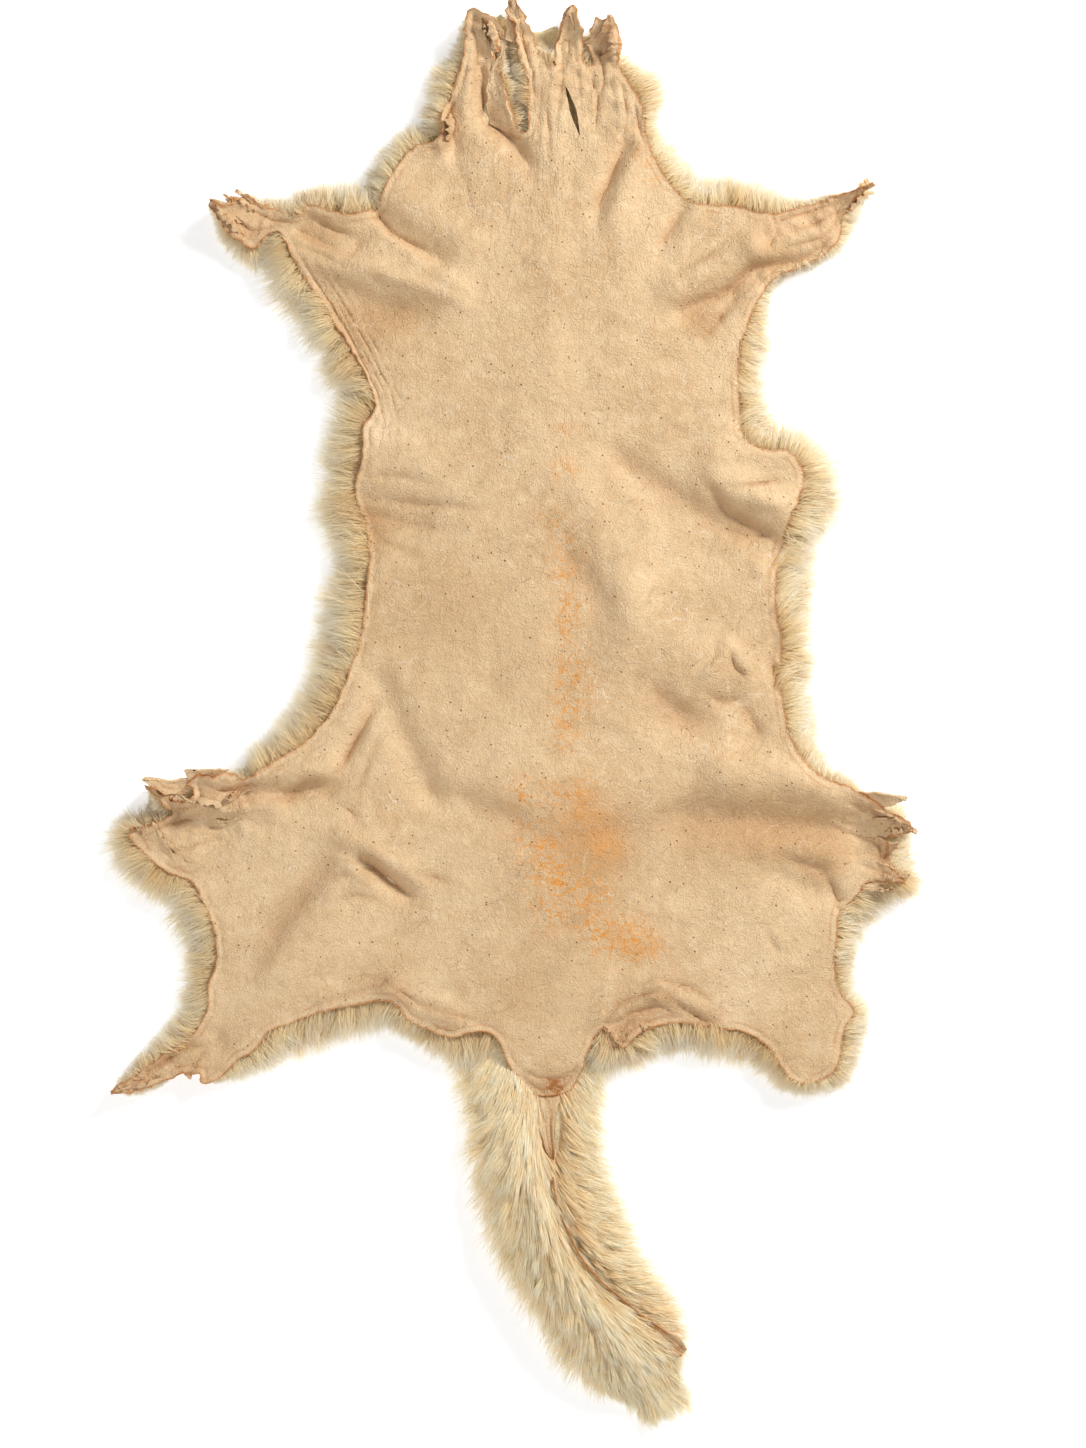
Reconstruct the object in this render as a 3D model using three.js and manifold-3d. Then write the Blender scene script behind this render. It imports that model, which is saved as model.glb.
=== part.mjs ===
// A tanned possum skin, laid out with its bare side up and its fur down.
// Millimetres, +Z up, +Y towards the head, +X towards the right of the skin as seen from above.
// The origin is on the surface that the fur lies on, under the midline of the trunk.
import * as THREE from "three";
import { mergeVertices } from "three/addons/utils/BufferGeometryUtils.js";
import Module from "manifold-3d";

const wasm = await Module();
wasm.setup();

// Driving dimensions
const SKIN_THICKNESS = 1.4;
const PILE_DEPTH = 13; // fur pressed flat under the skin
const LEAST_PILE = 6; // where a trough presses it hardest
const GAP = 0.4; // between neighbouring pieces
const RIM_STEP = 12; // longest straight stretch of the cut edge
const LOCK_SPACING = 18; // along the edge of the body
const LOCK_WIDTH = 24;
const LOCK_LEAST_WIDTH = 10; // where there is hardly any fur
const LOCK_WIDENING = 0.8; // added width for each millimetre that the fur reaches
const LOCK_ROOT = 5; // how far a lock starts inside the edge
const LOCK_HEIGHT = 0.72; // of a lock's root, as a share of the pile beside it
const PILE_REACH = 0.7; // of the fur's full reach, where the pile between the locks meets the surface
const LEAST_REACH = 3; // an edge with less fur than this has no locks
const LOCK_UNEVENNESS = 0.5; // radians, from one side to the other
const LOCK_SHAPE = [
  { run: 0, wide: 1, high: 1 }, { run: 0.55, wide: 0.8, high: 0.6 }, { run: 1, wide: 0.08, high: 0.1 },
];
const SKY = 90; // above everything
const MERGE = 1e-4; // points closer than this are one point

// The lines of the grid that carries the folds: finer where the skin is torn or gathered.
const GRID_X = { from: -268, stretches: [{ to: 227, step: 15 }] };
const GRID_Y = { from: -292, stretches: [
  { to: -152, step: 14 }, { to: -72, step: 11.5 }, { to: 80, step: 17 }, { to: 250, step: 13 },
  { to: 356, step: 9 },
] };

// Reads rows of numbers as objects with the named columns.
function table(columns, ...rows) {
  const names = columns.split(" ");
  return rows.map((row) => Object.fromEntries(names.map((name, i) => [name, row[i]])));
}

// The cut edge, anticlockwise from the end of the tail stub: x and y of the edge,
// and fur, how far the pile reaches past it there.
const RIM = {
  rightRump: table("x y fur", [-2, -267, 0], [8, -264, 0], [14, -254, 0], [18, -243, 0],
    [21, -236, 0], [27, -229, 8], [31, -239, 8], [40, -239, 14], [46, -233, 20], [58, -227, 22],
    [72, -226, 22], [84, -228, 22], [96, -229, 20], [108, -232, 19], [118, -239, 16]),
  rightLobe: table("x y fur", [127, -250, 13], [134, -258, 10], [142, -260, 9], [150, -257, 12],
    [157, -251, 14], [161, -240, 16], [163, -229, 16], [168, -218, 11], [162, -211, 11],
    [158, -202, 12], [157, -190, 14], [158, -176, 16]),
  rightHindFoot: table("x y fur", [160, -163, 20], [168, -156, 18], [173, -149, 16],
    [180, -146, 14], [188, -146, 14], [196, -146, 12], [189, -141, 12], [187, -133, 18],
    [186, -122, 14], [198, -118, 3], [195, -112, 3], [190, -109, 9], [184, -105, 4],
    [177, -101, 3], [171, -97, 4], [160, -92, 8], [150, -88, 10]),
  rightFlank: table("x y fur", [141, -81, 11], [132, -66, 14], [128, -48, 14], [127, -30, 15],
    [127, -12, 17], [124, 6, 20], [124, 24, 20], [127, 40, 20], [132, 58, 24], [139, 76, 20],
    [138, 85, 18], [131, 94, 16], [122, 94, 14], [113, 96, 14], [106, 104, 18], [104, 120, 16],
    [103, 142, 15], [107, 162, 15], [115, 181, 8], [124, 192, 5]),
  rightForeFoot: table("x y fur", [133, 196, 3], [143, 200, 4], [152, 206, 5], [160, 215, 7],
    [162, 226, 10], [168, 236, 8], [174, 240, 4], [179, 244, 0], [168, 241, 2], [150, 235, 5],
    [136, 231, 8], [119, 227, 18]),
  rightNeck: table("x y fur", [106, 231, 20], [90, 233, 18], [75, 235, 18], [66, 243, 18],
    [58, 254, 17], [52, 267, 15], [50, 279, 8], [48, 290, 17], [42, 300, 20], [36, 311, 12]),
  headStrips: table("x y fur", [36, 320, 0], [34, 329, 0], [31, 337, 0], [28, 335, 0],
    [22, 336, 0], [20, 327, 0], [17, 324, 3], [22, 311, 9], [16, 313, 9], [15, 326, 0],
    [13, 336, 0], [10, 343, 0], [6, 339, 0], [3, 329, 0], [0, 323, 3], [0, 310, 10],
    [-4, 317, 6], [-10, 320, 4], [-12, 328, 0], [-18, 337, 0], [-21, 344, 0], [-24, 346, 0],
    [-27, 340, 0], [-23, 330, 2], [-20, 318, 8], [-16, 303, 6], [-15, 287, 0], [-15, 274, 0],
    [-20, 274, 0], [-24, 287, 0], [-29, 302, 6], [-33, 315, 9], [-31, 324, 8],
    [-29, 330, 0], [-35, 336, 0], [-45, 342, 0], [-49, 334, 4], [-51, 321, 7]),
  leftNeck: table("x y fur", [-54, 307, 16], [-57, 297, 18], [-63, 285, 16], [-65, 270, 14],
    [-77, 266, 14], [-87, 256, 16], [-95, 243, 16], [-99, 232, 17], [-106, 228, 20]),
  leftForeFoot: table("x y fur", [-119, 228, 21], [-138, 232, 14], [-145, 227, 12],
    [-154, 230, 10], [-165, 232, 7], [-173, 239, 2], [-177, 235, 0], [-186, 238, 0],
    [-182, 233, 0], [-193, 232, 2], [-187, 223, 5], [-178, 213, 9], [-168, 208, 15],
    [-161, 215, 17], [-155, 217, 18]),
  leftFlank: table("x y fur", [-147, 203, 22], [-137, 187, 22], [-126, 170, 23],
    [-115, 152, 24], [-106, 135, 24], [-101, 119, 24], [-107, 108, 26], [-108, 90, 27],
    [-112, 71, 28], [-106, 50, 25], [-104, 32, 22], [-106, 12, 26], [-109, -10, 27],
    [-116, -31, 25], [-126, -52, 25], [-142, -69, 21], [-160, -81, 16]),
  leftHindFoot: table("x y fur", [-174, -89, 9], [-182, -86, 3], [-189, -86, 0], [-205, -91, 3],
    [-202, -98, 8], [-211, -102, 8], [-218, -98, 6], [-229, -92, 0], [-221, -101, 4],
    [-215, -108, 8], [-224, -114, 12], [-239, -120, 15], [-230, -131, 20], [-219, -141, 24],
    [-204, -147, 24], [-197, -158, 24], [-191, -174, 21], [-190, -191, 20]),
  leftLeg: table("x y fur", [-194, -205, 18], [-196, -219, 18], [-206, -234, 15],
    [-221, -244, 12], [-238, -256, 6], [-248, -264, 0], [-234, -264, 4], [-217, -258, 2],
    [-208, -254, 0], [-200, -255, 0], [-198, -260, 0], [-186, -256, 5], [-179, -248, 12],
    [-169, -242, 16], [-161, -232, 19], [-146, -225, 21], [-129, -219, 22]),
  leftRump: table("x y fur", [-112, -215, 20], [-91, -214, 18], [-83, -224, 15], [-72, -229, 14],
    [-56, -234, 9], [-48, -231, 8], [-38, -231, 8], [-31, -236, 0], [-27, -247, 0],
    [-21, -258, 0], [-12, -266, 0]),
};

// Soft folds of the skin: a line from one end to the other, the half width of the fold,
// and its rise, which is negative for a trough.
const FOLDS = table("name x0 y0 x1 y1 width rise",
  ["crown of the trunk", 0, 170, 5, -170, 85, 3],
  ["midline of the neck", -3, 290, -3, 130, 9, 1.2],
  ["groove of the left cheek", -40, 322, -38, 285, 7, -4],
  ["groove under the left cheek", -36, 282, -16, 256, 7, -4.5],
  ["left ear fold", -59, 288, -57, 264, 5, -3.5],
  ["left ear edge", -65, 284, -62, 266, 5, 3],
  ["right neck crease", 39, 266, 23, 226, 5, -3],
  ["right neck ridge", 50, 262, 33, 222, 8, 2.4],
  ["right shoulder crease", 72, 232, 59, 206, 5, -2.6],
  ["left shoulder crest", -94, 242, -50, 212, 11, 3.5],
  ["left shoulder groove", -100, 227, -66, 202, 7, -3],
  ["left fore crest", -150, 208, -58, 184, 11, 6.5],
  ["left fore edge", -144, 230, -108, 228, 6, 3.5],
  ["left fore dip", -142, 218, -112, 209, 6, -2.6],
  ["left fore hollow", -134, 186, -78, 170, 14, -3.5],
  ["right fore crest", 68, 186, 110, 206, 10, 4.5],
  ["right fore crest, outer part", 112, 208, 152, 216, 8, 3.5],
  ["right fore hollow", 74, 172, 112, 191, 8, -3.5],
  ["right fore hollow, outer part", 114, 195, 146, 202, 6, -2.4],
  ["left flank swelling", -104, 98, -76, 88, 13, 2.5],
  ["left flank dimple", -110, 58, -80, 62, 14, -4],
  ["right flank crest", 92, 97, 134, 89, 9, 2.6],
  ["right flank hump", 90, 80, 132, 60, 12, 6],
  ["right flank hollow", 92, 58, 126, 36, 12, -3.5],
  ["dell beside the hump", 36, 84, 80, 46, 16, -3.6],
  ["crest beside the dell", 14, 74, 42, 18, 16, 3],
  ["crest of the loin", 42, 18, 40, -18, 14, 2.6],
  ["swelling of the right loin", 46, 0, 86, -30, 17, 4],
  ["hollow of the right loin", 58, -64, 96, -46, 10, -3.4],
  ["pinch by the right edge", 97, -15, 110, -34, 6, 2.6],
  ["crease by the right edge", 126, -20, 106, -66, 9, -3],
  ["rump crest", -20, -92, 92, -92, 24, 3.6],
  ["right hind crest", 98, -86, 186, -101, 13, 6],
  ["right hind hollow", 112, -116, 176, -116, 10, -2.6],
  ["right hock crest", 118, -127, 154, -130, 8, 3.5],
  ["right hock crease", 126, -144, 162, -158, 7, -3],
  ["right lobe step", 116, -230, 152, -198, 12, -2.6],
  ["left loin valley", -99, -36, -71, -98, 9, -4],
  ["left rump valley", -70, -98, -24, -114, 9, -2.2],
  ["left thigh trough", -104, -50, -127, -96, 6, -3.4],
  ["left hind crest", -126, -83, -182, -91, 7, 5],
  ["left hind second crest", -204, -101, -158, -104, 6, 3.6],
  ["left hind hollow", -212, -112, -186, -117, 7, -3],
  ["left hind shadowed dip", -178, -97, -136, -96, 6, -3],
  ["left thigh crest", -104, -124, -152, -192, 17, 4.4],
  ["left thigh pinch", -120, -121, -78, -143, 6, 3.6],
  ["left thigh dip", -110, -135, -83, -154, 6, -3.4],
  ["left rump roll", -128, -213, -92, -205, 6, 2.6],
  ["left rump roll, inner part", -90, -206, -58, -222, 6, 2.6],
  ["right rump roll", 26, -222, 56, -207, 7, 2.4],
  ["right rump roll, outer part", 58, -207, 88, -221, 7, 2.6],
  ["end of the tail stub", -14, -263, 8, -262, 9, -4],
  ["thin fur of the left fore foot", -188, 226, -160, 224, 20, -3.5],
  ["thin fur of the right fore foot", 146, 222, 180, 240, 18, -3.5],
  ["thin fur of the head", -40, 334, 34, 330, 18, -4],
  ["thin fur of the left foot", -236, -112, -200, -120, 26, -2.5],
  ["thin fur of the left leg", -246, -262, -196, -236, 20, -4],
  ["thin fur of the right toes", 176, -132, 196, -132, 18, -2.5],
);

// Places where the dried edge stands up off its fur: centre, radius and rise.
const LIFTS = table("name x y radius rise",
  ["first head strip", -42, 338, 13, 9],
  ["second head strip", -24, 344, 11, 9],
  ["third head strip", 9, 340, 11, 8],
  ["fourth head strip", 29, 333, 11, 9],
  ["left fore claw tips", -189, 233, 13, 7],
  ["right fore claw tip", 176, 243, 11, 7],
  ["left hind spike", -226, -94, 11, 9],
  ["left hind upper flap", -196, -90, 12, 6],
  ["left leg tip", -245, -263, 12, 5],
  ["right upper toe", 196, -116, 10, 6],
  ["right lower toe", 194, -146, 9, 4],
);

// Edges that have curled over in drying: both ends of the root line on the skin,
// the curl's radius, and how far round it turns. It curls to the left of the line.
const CURLS = table("name x0 y0 x1 y1 radius turn",
  ["first head strip", -33, 318, -37, 335, 4, 190],
  ["fourth head strip", 33, 313, 32, 330, 5, 210],
  ["left ear", -61, 268, -60, 284, 4.5, 170],
  ["left fore flap", -177, 216, -190, 230, 3.5, 190],
  ["left fore inner flap", -168, 229, -182, 236, 3, 170],
  ["left hind flap", -186, -104, -208, -102, 4, 190],
  ["left hind spike", -212, -102, -226, -94, 2.6, 170],
  ["left leg edge", -241, -261, -220, -257, 3, 180],
  ["right fore claw", 163, 229, 172, 239, 3, 180],
  ["right upper toe", 184, -119, 195, -117, 3, 190],
  ["right lower toe", 182, -143, 193, -145, 3, 180],
);

// Slits that go through the skin: their ends and their width in the middle.
const SLITS = table("name x0 y0 x1 y1 width",
  ["slit between the third and fourth head strips", 6, 299, 14, 271, 4.5],
);

const CURL_ARC_STEPS = 5;
const CURL_LENGTH_STEPS = 4;
const CURL_TAPER = 0.45; // the curl's radius at its ends, as a share of the middle's
const CURL_SUNK = 0.4; // how far over the skin's underside it starts
const CURL_LEAST_RADIUS = 0.4; // inside

const SKIN_COLOUR = "#dcb98c";
const FUR_COLOUR = "#efe6c4";

// The body of the bushy tail's fur, along its length: centre line, half width and height.
const TAIL = table("x y half height",
  [-14, -236, 44, 12], [-13, -254, 39, 18], [-12, -274, 33, 26], [-12, -295, 31, 31],
  [-8, -316, 32, 34], [-1, -337, 33, 36], [8, -357, 31, 36], [18, -375, 30, 35],
  [30, -392, 30, 33], [41, -408, 29, 28], [50, -422, 24, 21], [56, -433, 11, 11]);
const TAIL_RING = 12; // points round the tail's back
const TAIL_FULLNESS = 1.9; // 2 is a half ellipse, and more is squarer
const TAIL_LOCKS_A_SIDE = 15;
const TAIL_LOCK_WIDTH = 17;
const TAIL_LOCK_LENGTH = 26;
const TAIL_LOCK_HEIGHT = 13;
const TAIL_LOCK_ROOT = 12; // how far a lock starts inside the tail's side
const TAIL_LOCK_LEAN = 0.75; // radians off the tail's own direction
const TAIL_FAN_FROM = 0.75; // share of the length from where the locks turn to the tip
const TAIL_SPACE = { low: -64, high: 40, y: -236 }; // where the tail's fur takes over

// The tail's skin, where it shows in the fur: the bare patch at its root, the cut edge of the
// slit, and the end. Its underside is sunk into the fur's back, but never lower than its rise.
const TAIL_SKIN = table("x y width sunk rise",
  [-4, -262, 17, 60, 9.6], [-6, -270, 18, 60, 14], [-7, -279, 16, 5, 17], [-5, -290, 10, 5, 19],
  [-2, -301, 5, 5, 0], [-1, -314, 4, 6, 0], [2, -328, 4, 6, 0], [8, -343, 4, 6, 0],
  [15, -356, 4, 6, 0], [25, -368, 4, 6, 0], [36, -378, 4, 6, 0], [47, -388, 4, 7, 0],
  [57, -397, 6, 5, 14], [65, -405, 10, 5, 12], [72, -411, 6, 5, 10]);

// How high one fold stands at a place.
function foldAt({ x0, y0, x1, y1, width, rise }, x, y) {
  const along = new THREE.Vector2(x1 - x0, y1 - y0);
  const length = along.length();
  along.divideScalar(length);
  const run = (x - x0) * along.x + (y - y0) * along.y;
  const off = (x - x0) * along.y - (y - y0) * along.x;
  const past = Math.max(0, -run, run - length);
  return rise * Math.exp(-(off * off + past * past) / (width * width));
}

// The top of the fur under the skin.
function pileAt(x, y) {
  const folded = FOLDS.reduce((sum, fold) => sum + foldAt(fold, x, y), PILE_DEPTH);
  return Math.max(LEAST_PILE, folded);
}

// The nearest point of the edge, and how far outside it a place is: less than nothing inside.
function edgeAt(x, y) {
  const near = rim.map((a, i) => {
    const b = rim[(i + 1) % rim.length];
    const [u, v] = [b.x - a.x, b.y - a.y];
    const t = THREE.MathUtils.clamp(((x - a.x) * u + (y - a.y) * v) / (u * u + v * v), 0, 1);
    const away = Math.hypot(a.x + u * t - x, a.y + v * t - y);
    return { away, fur: THREE.MathUtils.lerp(a.fur, b.fur, t) };
  }).reduce((best, each) => (each.away < best.away ? each : best));
  return isInside(rim, { x, y }) ? { ...near, away: -near.away } : near;
}

// The top of the whole pile: it falls away to the surface beyond the edge, and under it
// where the fur ends.
function furTopAt(x, y) {
  const { away, fur } = edgeAt(x, y);
  const reach = Math.max(LEAST_REACH, fur * PILE_REACH);
  return pileAt(x, y) * Math.max(-1, 1 - Math.max(0, away) / reach);
}

// The underside of the skin, which stands clear of the fur where its edge has dried and lifted.
function undersideAt(x, y) {
  const lift = LIFTS.reduce((sum, spot) => {
    const away = Math.hypot(x - spot.x, y - spot.y) / spot.radius;
    return sum + spot.rise * Math.exp(-away * away);
  }, 0);
  return pileAt(x, y) + GAP + lift;
}

// Manifold solid of a closed three.js geometry.
function solidOf(geometry) {
  const bare = new THREE.BufferGeometry();
  bare.setAttribute("position", geometry.getAttribute("position"));
  bare.setIndex(geometry.index);
  const merged = mergeVertices(bare, MERGE);
  return new wasm.Manifold(new wasm.Mesh({
    numProp: 3,
    vertProperties: new Float32Array(merged.getAttribute("position").array),
    triVerts: new Uint32Array(merged.index.array),
  }));
}

// three.js geometry of a manifold solid.
function geometryOf(solid) {
  const { numProp, vertProperties, triVerts } = solid.getMesh();
  const corners = Array.from(triVerts, (v) => vertProperties.slice(v * numProp, v * numProp + 3));
  const positions = new Float32Array(corners.length * 3);
  corners.forEach((corner, i) => positions.set(corner, i * 3));
  const geometry = new THREE.BufferGeometry();
  geometry.setAttribute("position", new THREE.BufferAttribute(positions, 3));
  geometry.computeVertexNormals();
  return geometry;
}

// A closed body through sections of the same number of points. Each section has its outline
// as flat points, and a function that puts a flat point in its place.
function loft(sections) {
  const count = sections[0].outline.length;
  const points = sections.flatMap(({ outline, place }) => outline.map(place));
  const faces = [];
  sections.slice(1).forEach((_, s) => {
    for (let i = 0; i < count; i++) {
      const j = (i + 1) % count;
      const [a, b, c, d] = [s * count + i, s * count + j, (s + 1) * count + j, (s + 1) * count + i];
      faces.push([a, b, c], [a, c, d]);
    }
  });
  const last = (sections.length - 1) * count;
  for (const [a, b, c] of THREE.ShapeUtils.triangulateShape(sections[0].outline, [])) {
    faces.push([c, b, a]);
  }
  for (const [a, b, c] of THREE.ShapeUtils.triangulateShape(sections.at(-1).outline, [])) {
    faces.push([last + a, last + b, last + c]);
  }
  const geometry = new THREE.BufferGeometry().setFromPoints(points);
  geometry.setIndex(faces.flat());
  return geometry;
}

// An edge as a smooth closed line through its landmarks, with the fur's reach at each point.
function edgePoints(sections) {
  const marks = Object.values(sections).flat();
  const curve = new THREE.CatmullRomCurve3(
    marks.map(({ x, y, fur }) => new THREE.Vector3(x, y, fur)), true, "centripetal");
  return marks.flatMap((mark, i) => {
    const next = marks[(i + 1) % marks.length];
    const steps = Math.ceil(Math.hypot(next.x - mark.x, next.y - mark.y) / RIM_STEP);
    return Array.from({ length: steps }, (_, k) => {
      const { x, y, z } = curve.getPoint((i + k / steps) / marks.length);
      return { x, y, fur: Math.max(0, z) };
    });
  });
}

// An upright block with a given outline.
function prism(outline, low, high) {
  const shape = new THREE.Shape(outline.map(({ x, y }) => new THREE.Vector2(x, y)));
  const geometry = new THREE.ExtrudeGeometry(shape, { depth: high - low, bevelEnabled: false });
  return solidOf(geometry.translate(0, 0, low));
}

// The places of the grid's lines, evenly spaced within each stretch.
function gridLines({ from, stretches }) {
  return stretches.reduce((lines, { to, step }) => {
    const start = lines.at(-1);
    const count = Math.ceil((to - start) / step);
    const added = Array.from({ length: count }, (_, i) => start + ((to - start) * (i + 1)) / count);
    return [...lines, ...added];
  }, [from]);
}

// A closed slab between two height functions over a grid.
function slab(xs, ys, topAt, bottomAt) {
  const points = [topAt, bottomAt].flatMap((heightAt) =>
    ys.flatMap((y) => xs.map((x) => new THREE.Vector3(x, y, heightAt(x, y)))));
  const [w, h] = [xs.length, ys.length];
  const at = (layer, i, j) => (layer * h + j) * w + i;
  const faces = [];
  for (let j = 0; j + 1 < h; j++) {
    for (let i = 0; i + 1 < w; i++) {
      const [a, b, c, d] = [at(0, i, j), at(0, i + 1, j), at(0, i + 1, j + 1), at(0, i, j + 1)];
      faces.push([a, b, c], [a, c, d]);
      faces.push(...[[c, b, a], [d, c, a]].map((face) => face.map((v) => v + w * h)));
    }
  }
  const border = [
    ...xs.slice(1).map((_, i) => [i, 0]), ...ys.slice(1).map((_, j) => [w - 1, j]),
    ...xs.slice(1).map((_, i) => [w - 1 - i, h - 1]), ...ys.slice(1).map((_, j) => [0, h - 1 - j]),
  ];
  border.forEach(([i, j], k) => {
    const [m, n] = border[(k + 1) % border.length];
    faces.push([at(0, i, j), at(1, i, j), at(1, m, n)], [at(0, i, j), at(1, m, n), at(0, m, n)]);
  });
  const geometry = new THREE.BufferGeometry().setFromPoints(points);
  geometry.setIndex(faces.flat());
  return solidOf(geometry);
}

const rim = edgePoints(RIM);
const gridX = gridLines(GRID_X);
const gridY = gridLines(GRID_Y);

// A height as the flat faces of the grid have it, between the grid's lines.
function onGrid(heightAt, x, y) {
  const [i, j] = [gridX.findIndex((line) => line > x) - 1, gridY.findIndex((line) => line > y) - 1];
  const u = (x - gridX[i]) / (gridX[i + 1] - gridX[i]);
  const v = (y - gridY[j]) / (gridY[j + 1] - gridY[j]);
  const [a, b] = [heightAt(gridX[i], gridY[j]), heightAt(gridX[i + 1], gridY[j])];
  const [d, c] = [heightAt(gridX[i], gridY[j + 1]), heightAt(gridX[i + 1], gridY[j + 1])];
  return v < u ? a + u * (b - a) + v * (c - b) : a + v * (d - a) + u * (c - d);
}

// One curled edge: a thin crescent that leaves the skin, turns up and comes back over it.
function curl({ x0, y0, x1, y1, radius, turn }) {
  const root = new THREE.Vector2(x0, y0);
  const along = new THREE.Vector2(x1 - x0, y1 - y0);
  const inward = new THREE.Vector2(-along.y, along.x).normalize();
  const sections = Array.from({ length: CURL_LENGTH_STEPS + 1 }, (_, s) => {
    const t = s / CURL_LENGTH_STEPS;
    const r = radius * (CURL_TAPER + (1 - CURL_TAPER) * Math.sin(Math.PI * t));
    const at = root.clone().addScaledVector(along, t);
    const floor = onGrid(undersideAt, at.x, at.y) + CURL_SUNK;
    const arc = (size) => Array.from({ length: CURL_ARC_STEPS + 1 }, (_, k) => {
      const angle = THREE.MathUtils.degToRad((turn * k) / CURL_ARC_STEPS);
      return new THREE.Vector2(-Math.sin(angle) * size, r - Math.cos(angle) * size);
    });
    return {
      outline: [...arc(Math.max(CURL_LEAST_RADIUS, r - SKIN_THICKNESS)), ...arc(r).reverse()],
      place: ({ x, y }) => new THREE.Vector3(at.x + inward.x * x, at.y + inward.y * x, floor + y),
    };
  });
  return solidOf(loft(sections));
}

// The space of one slit: a lens, pointed at both ends.
function slit({ x0, y0, x1, y1, width }) {
  const heading = Math.atan2(y1 - y0, x1 - x0);
  const length = Math.hypot(x1 - x0, y1 - y0);
  const root = { x: x0, y: y0 };
  const lens = [
    ahead(root, heading, 0, 0, 0), ahead(root, heading, length * 0.4, -width / 2, 0),
    ahead(root, heading, length, 0, 0), ahead(root, heading, length * 0.6, width / 2, 0),
  ];
  return prism(lens, 0, SKY);
}

// The skin itself: one thin sheet with its folds, lifted edges and curls.
function hide() {
  const sheet = slab(gridX, gridY, (x, y) => undersideAt(x, y) + SKIN_THICKNESS, undersideAt)
    .intersect(prism(rim, 0, SKY));
  const slitted = SLITS.reduce((skin, row) => skin.subtract(slit(row)), sheet);
  return CURLS.reduce((skin, row) => skin.add(curl(row)), slitted).add(tailStrip(0));
}

// A repeatable uneven number from 0 to 1.
function makeDice(seed) {
  let state = seed;
  return () => {
    state = (state * 1664525 + 1013904223) % 4294967296;
    return state / 4294967296;
  };
}

// An uneven share of about 1 for a lock's length and height.
const uneven = (dice) => 0.85 + 0.4 * dice();

// A place so far ahead of a point and to the left of it, and so high.
function ahead({ x, y }, heading, run, left, height) {
  const [c, s] = [Math.cos(heading), Math.sin(heading)];
  return new THREE.Vector3(x + c * run - s * left, y + s * run + c * left, height);
}

// The way that a line of rows runs at one of them, in radians from +X.
function headingAt(rows, i) {
  const before = rows[Math.max(0, i - 1)];
  const after = rows[Math.min(rows.length - 1, i + 1)];
  return Math.atan2(after.y - before.y, after.x - before.x);
}

// A three-sided lock that lies on the surface: wide at its root, full in the middle, and sharp
// at its tip, which points along its heading.
function lock({ x, y, heading, length, width, height }) {
  const sections = LOCK_SHAPE.map(({ run, wide, high }) => ({
    outline: [
      new THREE.Vector2((-width / 2) * wide, 0), new THREE.Vector2((width / 2) * wide, 0),
      new THREE.Vector2(0, height * high),
    ],
    place: (flat) => ahead({ x, y }, heading, length * run, flat.x, flat.y),
  }));
  return solidOf(loft(sections));
}

// Whether a place is inside an outline.
function isInside(outline, { x, y }) {
  return outline.reduce((inside, a, i) => {
    const b = outline[(i + 1) % outline.length];
    const crosses = (a.y > y) !== (b.y > y) && x < a.x + ((b.x - a.x) * (y - a.y)) / (b.y - a.y);
    return crosses ? !inside : inside;
  }, false);
}

// How long a lock can be before it runs into another part of the skin.
function freeLength(root, heading, wished) {
  const isClear = (run) => !isInside(rim, ahead(root, heading, run, 0, 0));
  let length = LOCK_ROOT + LEAST_REACH;
  while (length < wished && isClear(length + LEAST_REACH)) length += 1;
  return isClear(length) ? length : 0;
}

// Spots at an even distance along a closed outline, each with the way that leads out of it.
function evenSpots(outline, spacing) {
  const spots = [];
  let next = spacing;
  outline.forEach((a, i) => {
    const b = outline[(i + 1) % outline.length];
    const length = Math.hypot(b.x - a.x, b.y - a.y);
    for (; next <= length; next += spacing) {
      const between = (key) => THREE.MathUtils.lerp(a[key], b[key], next / length);
      const outward = Math.atan2(a.x - b.x, b.y - a.y);
      spots.push({ x: between("x"), y: between("y"), fur: between("fur"), outward });
    }
    next -= length;
  });
  return spots;
}

// The locks round the edge of the body.
function edgeLocks() {
  const dice = makeDice(11);
  return evenSpots(rim, LOCK_SPACING).filter(({ fur }) => fur >= LEAST_REACH).flatMap((spot) => {
    const heading = spot.outward + (dice() - 0.5) * LOCK_UNEVENNESS;
    const root = ahead(spot, heading, -LOCK_ROOT, 0, 0);
    const wished = LOCK_ROOT + spot.fur * uneven(dice);
    const length = freeLength(root, heading, wished);
    const pile = Math.min(onGrid(pileAt, root.x, root.y), onGrid(pileAt, spot.x, spot.y));
    const width = Math.min(LOCK_WIDTH, LOCK_LEAST_WIDTH + spot.fur * LOCK_WIDENING);
    if (!length) return [];
    return [lock({ x: root.x, y: root.y, heading, length, width, height: pile * LOCK_HEIGHT })];
  });
}

// A box from one corner to the other.
function block(low, high) {
  const size = new THREE.Vector3().subVectors(high, low);
  const middle = new THREE.Vector3().addVectors(low, high).multiplyScalar(0.5);
  return solidOf(new THREE.BoxGeometry(...size.toArray()).translate(...middle.toArray()));
}

// The fur under the skin: a flat-bottomed slab with locks all round its edge.
function bodyFur() {
  const ground = block(
    new THREE.Vector3(GRID_X.from - 1, GRID_Y.from - 1, -SKY),
    new THREE.Vector3(GRID_X.stretches.at(-1).to + 1, GRID_Y.stretches.at(-1).to + 1, 0));
  const pile = slab(gridX, gridY, furTopAt, () => -SKY / 2).subtract(ground);
  const { low, high, y } = TAIL_SPACE;
  const tailSpace = block(new THREE.Vector3(low, GRID_Y.from, -1), new THREE.Vector3(high, y, SKY));
  return edgeLocks().reduce((fur, tuft) => fur.add(tuft), pile).subtract(tailSpace);
}

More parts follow.
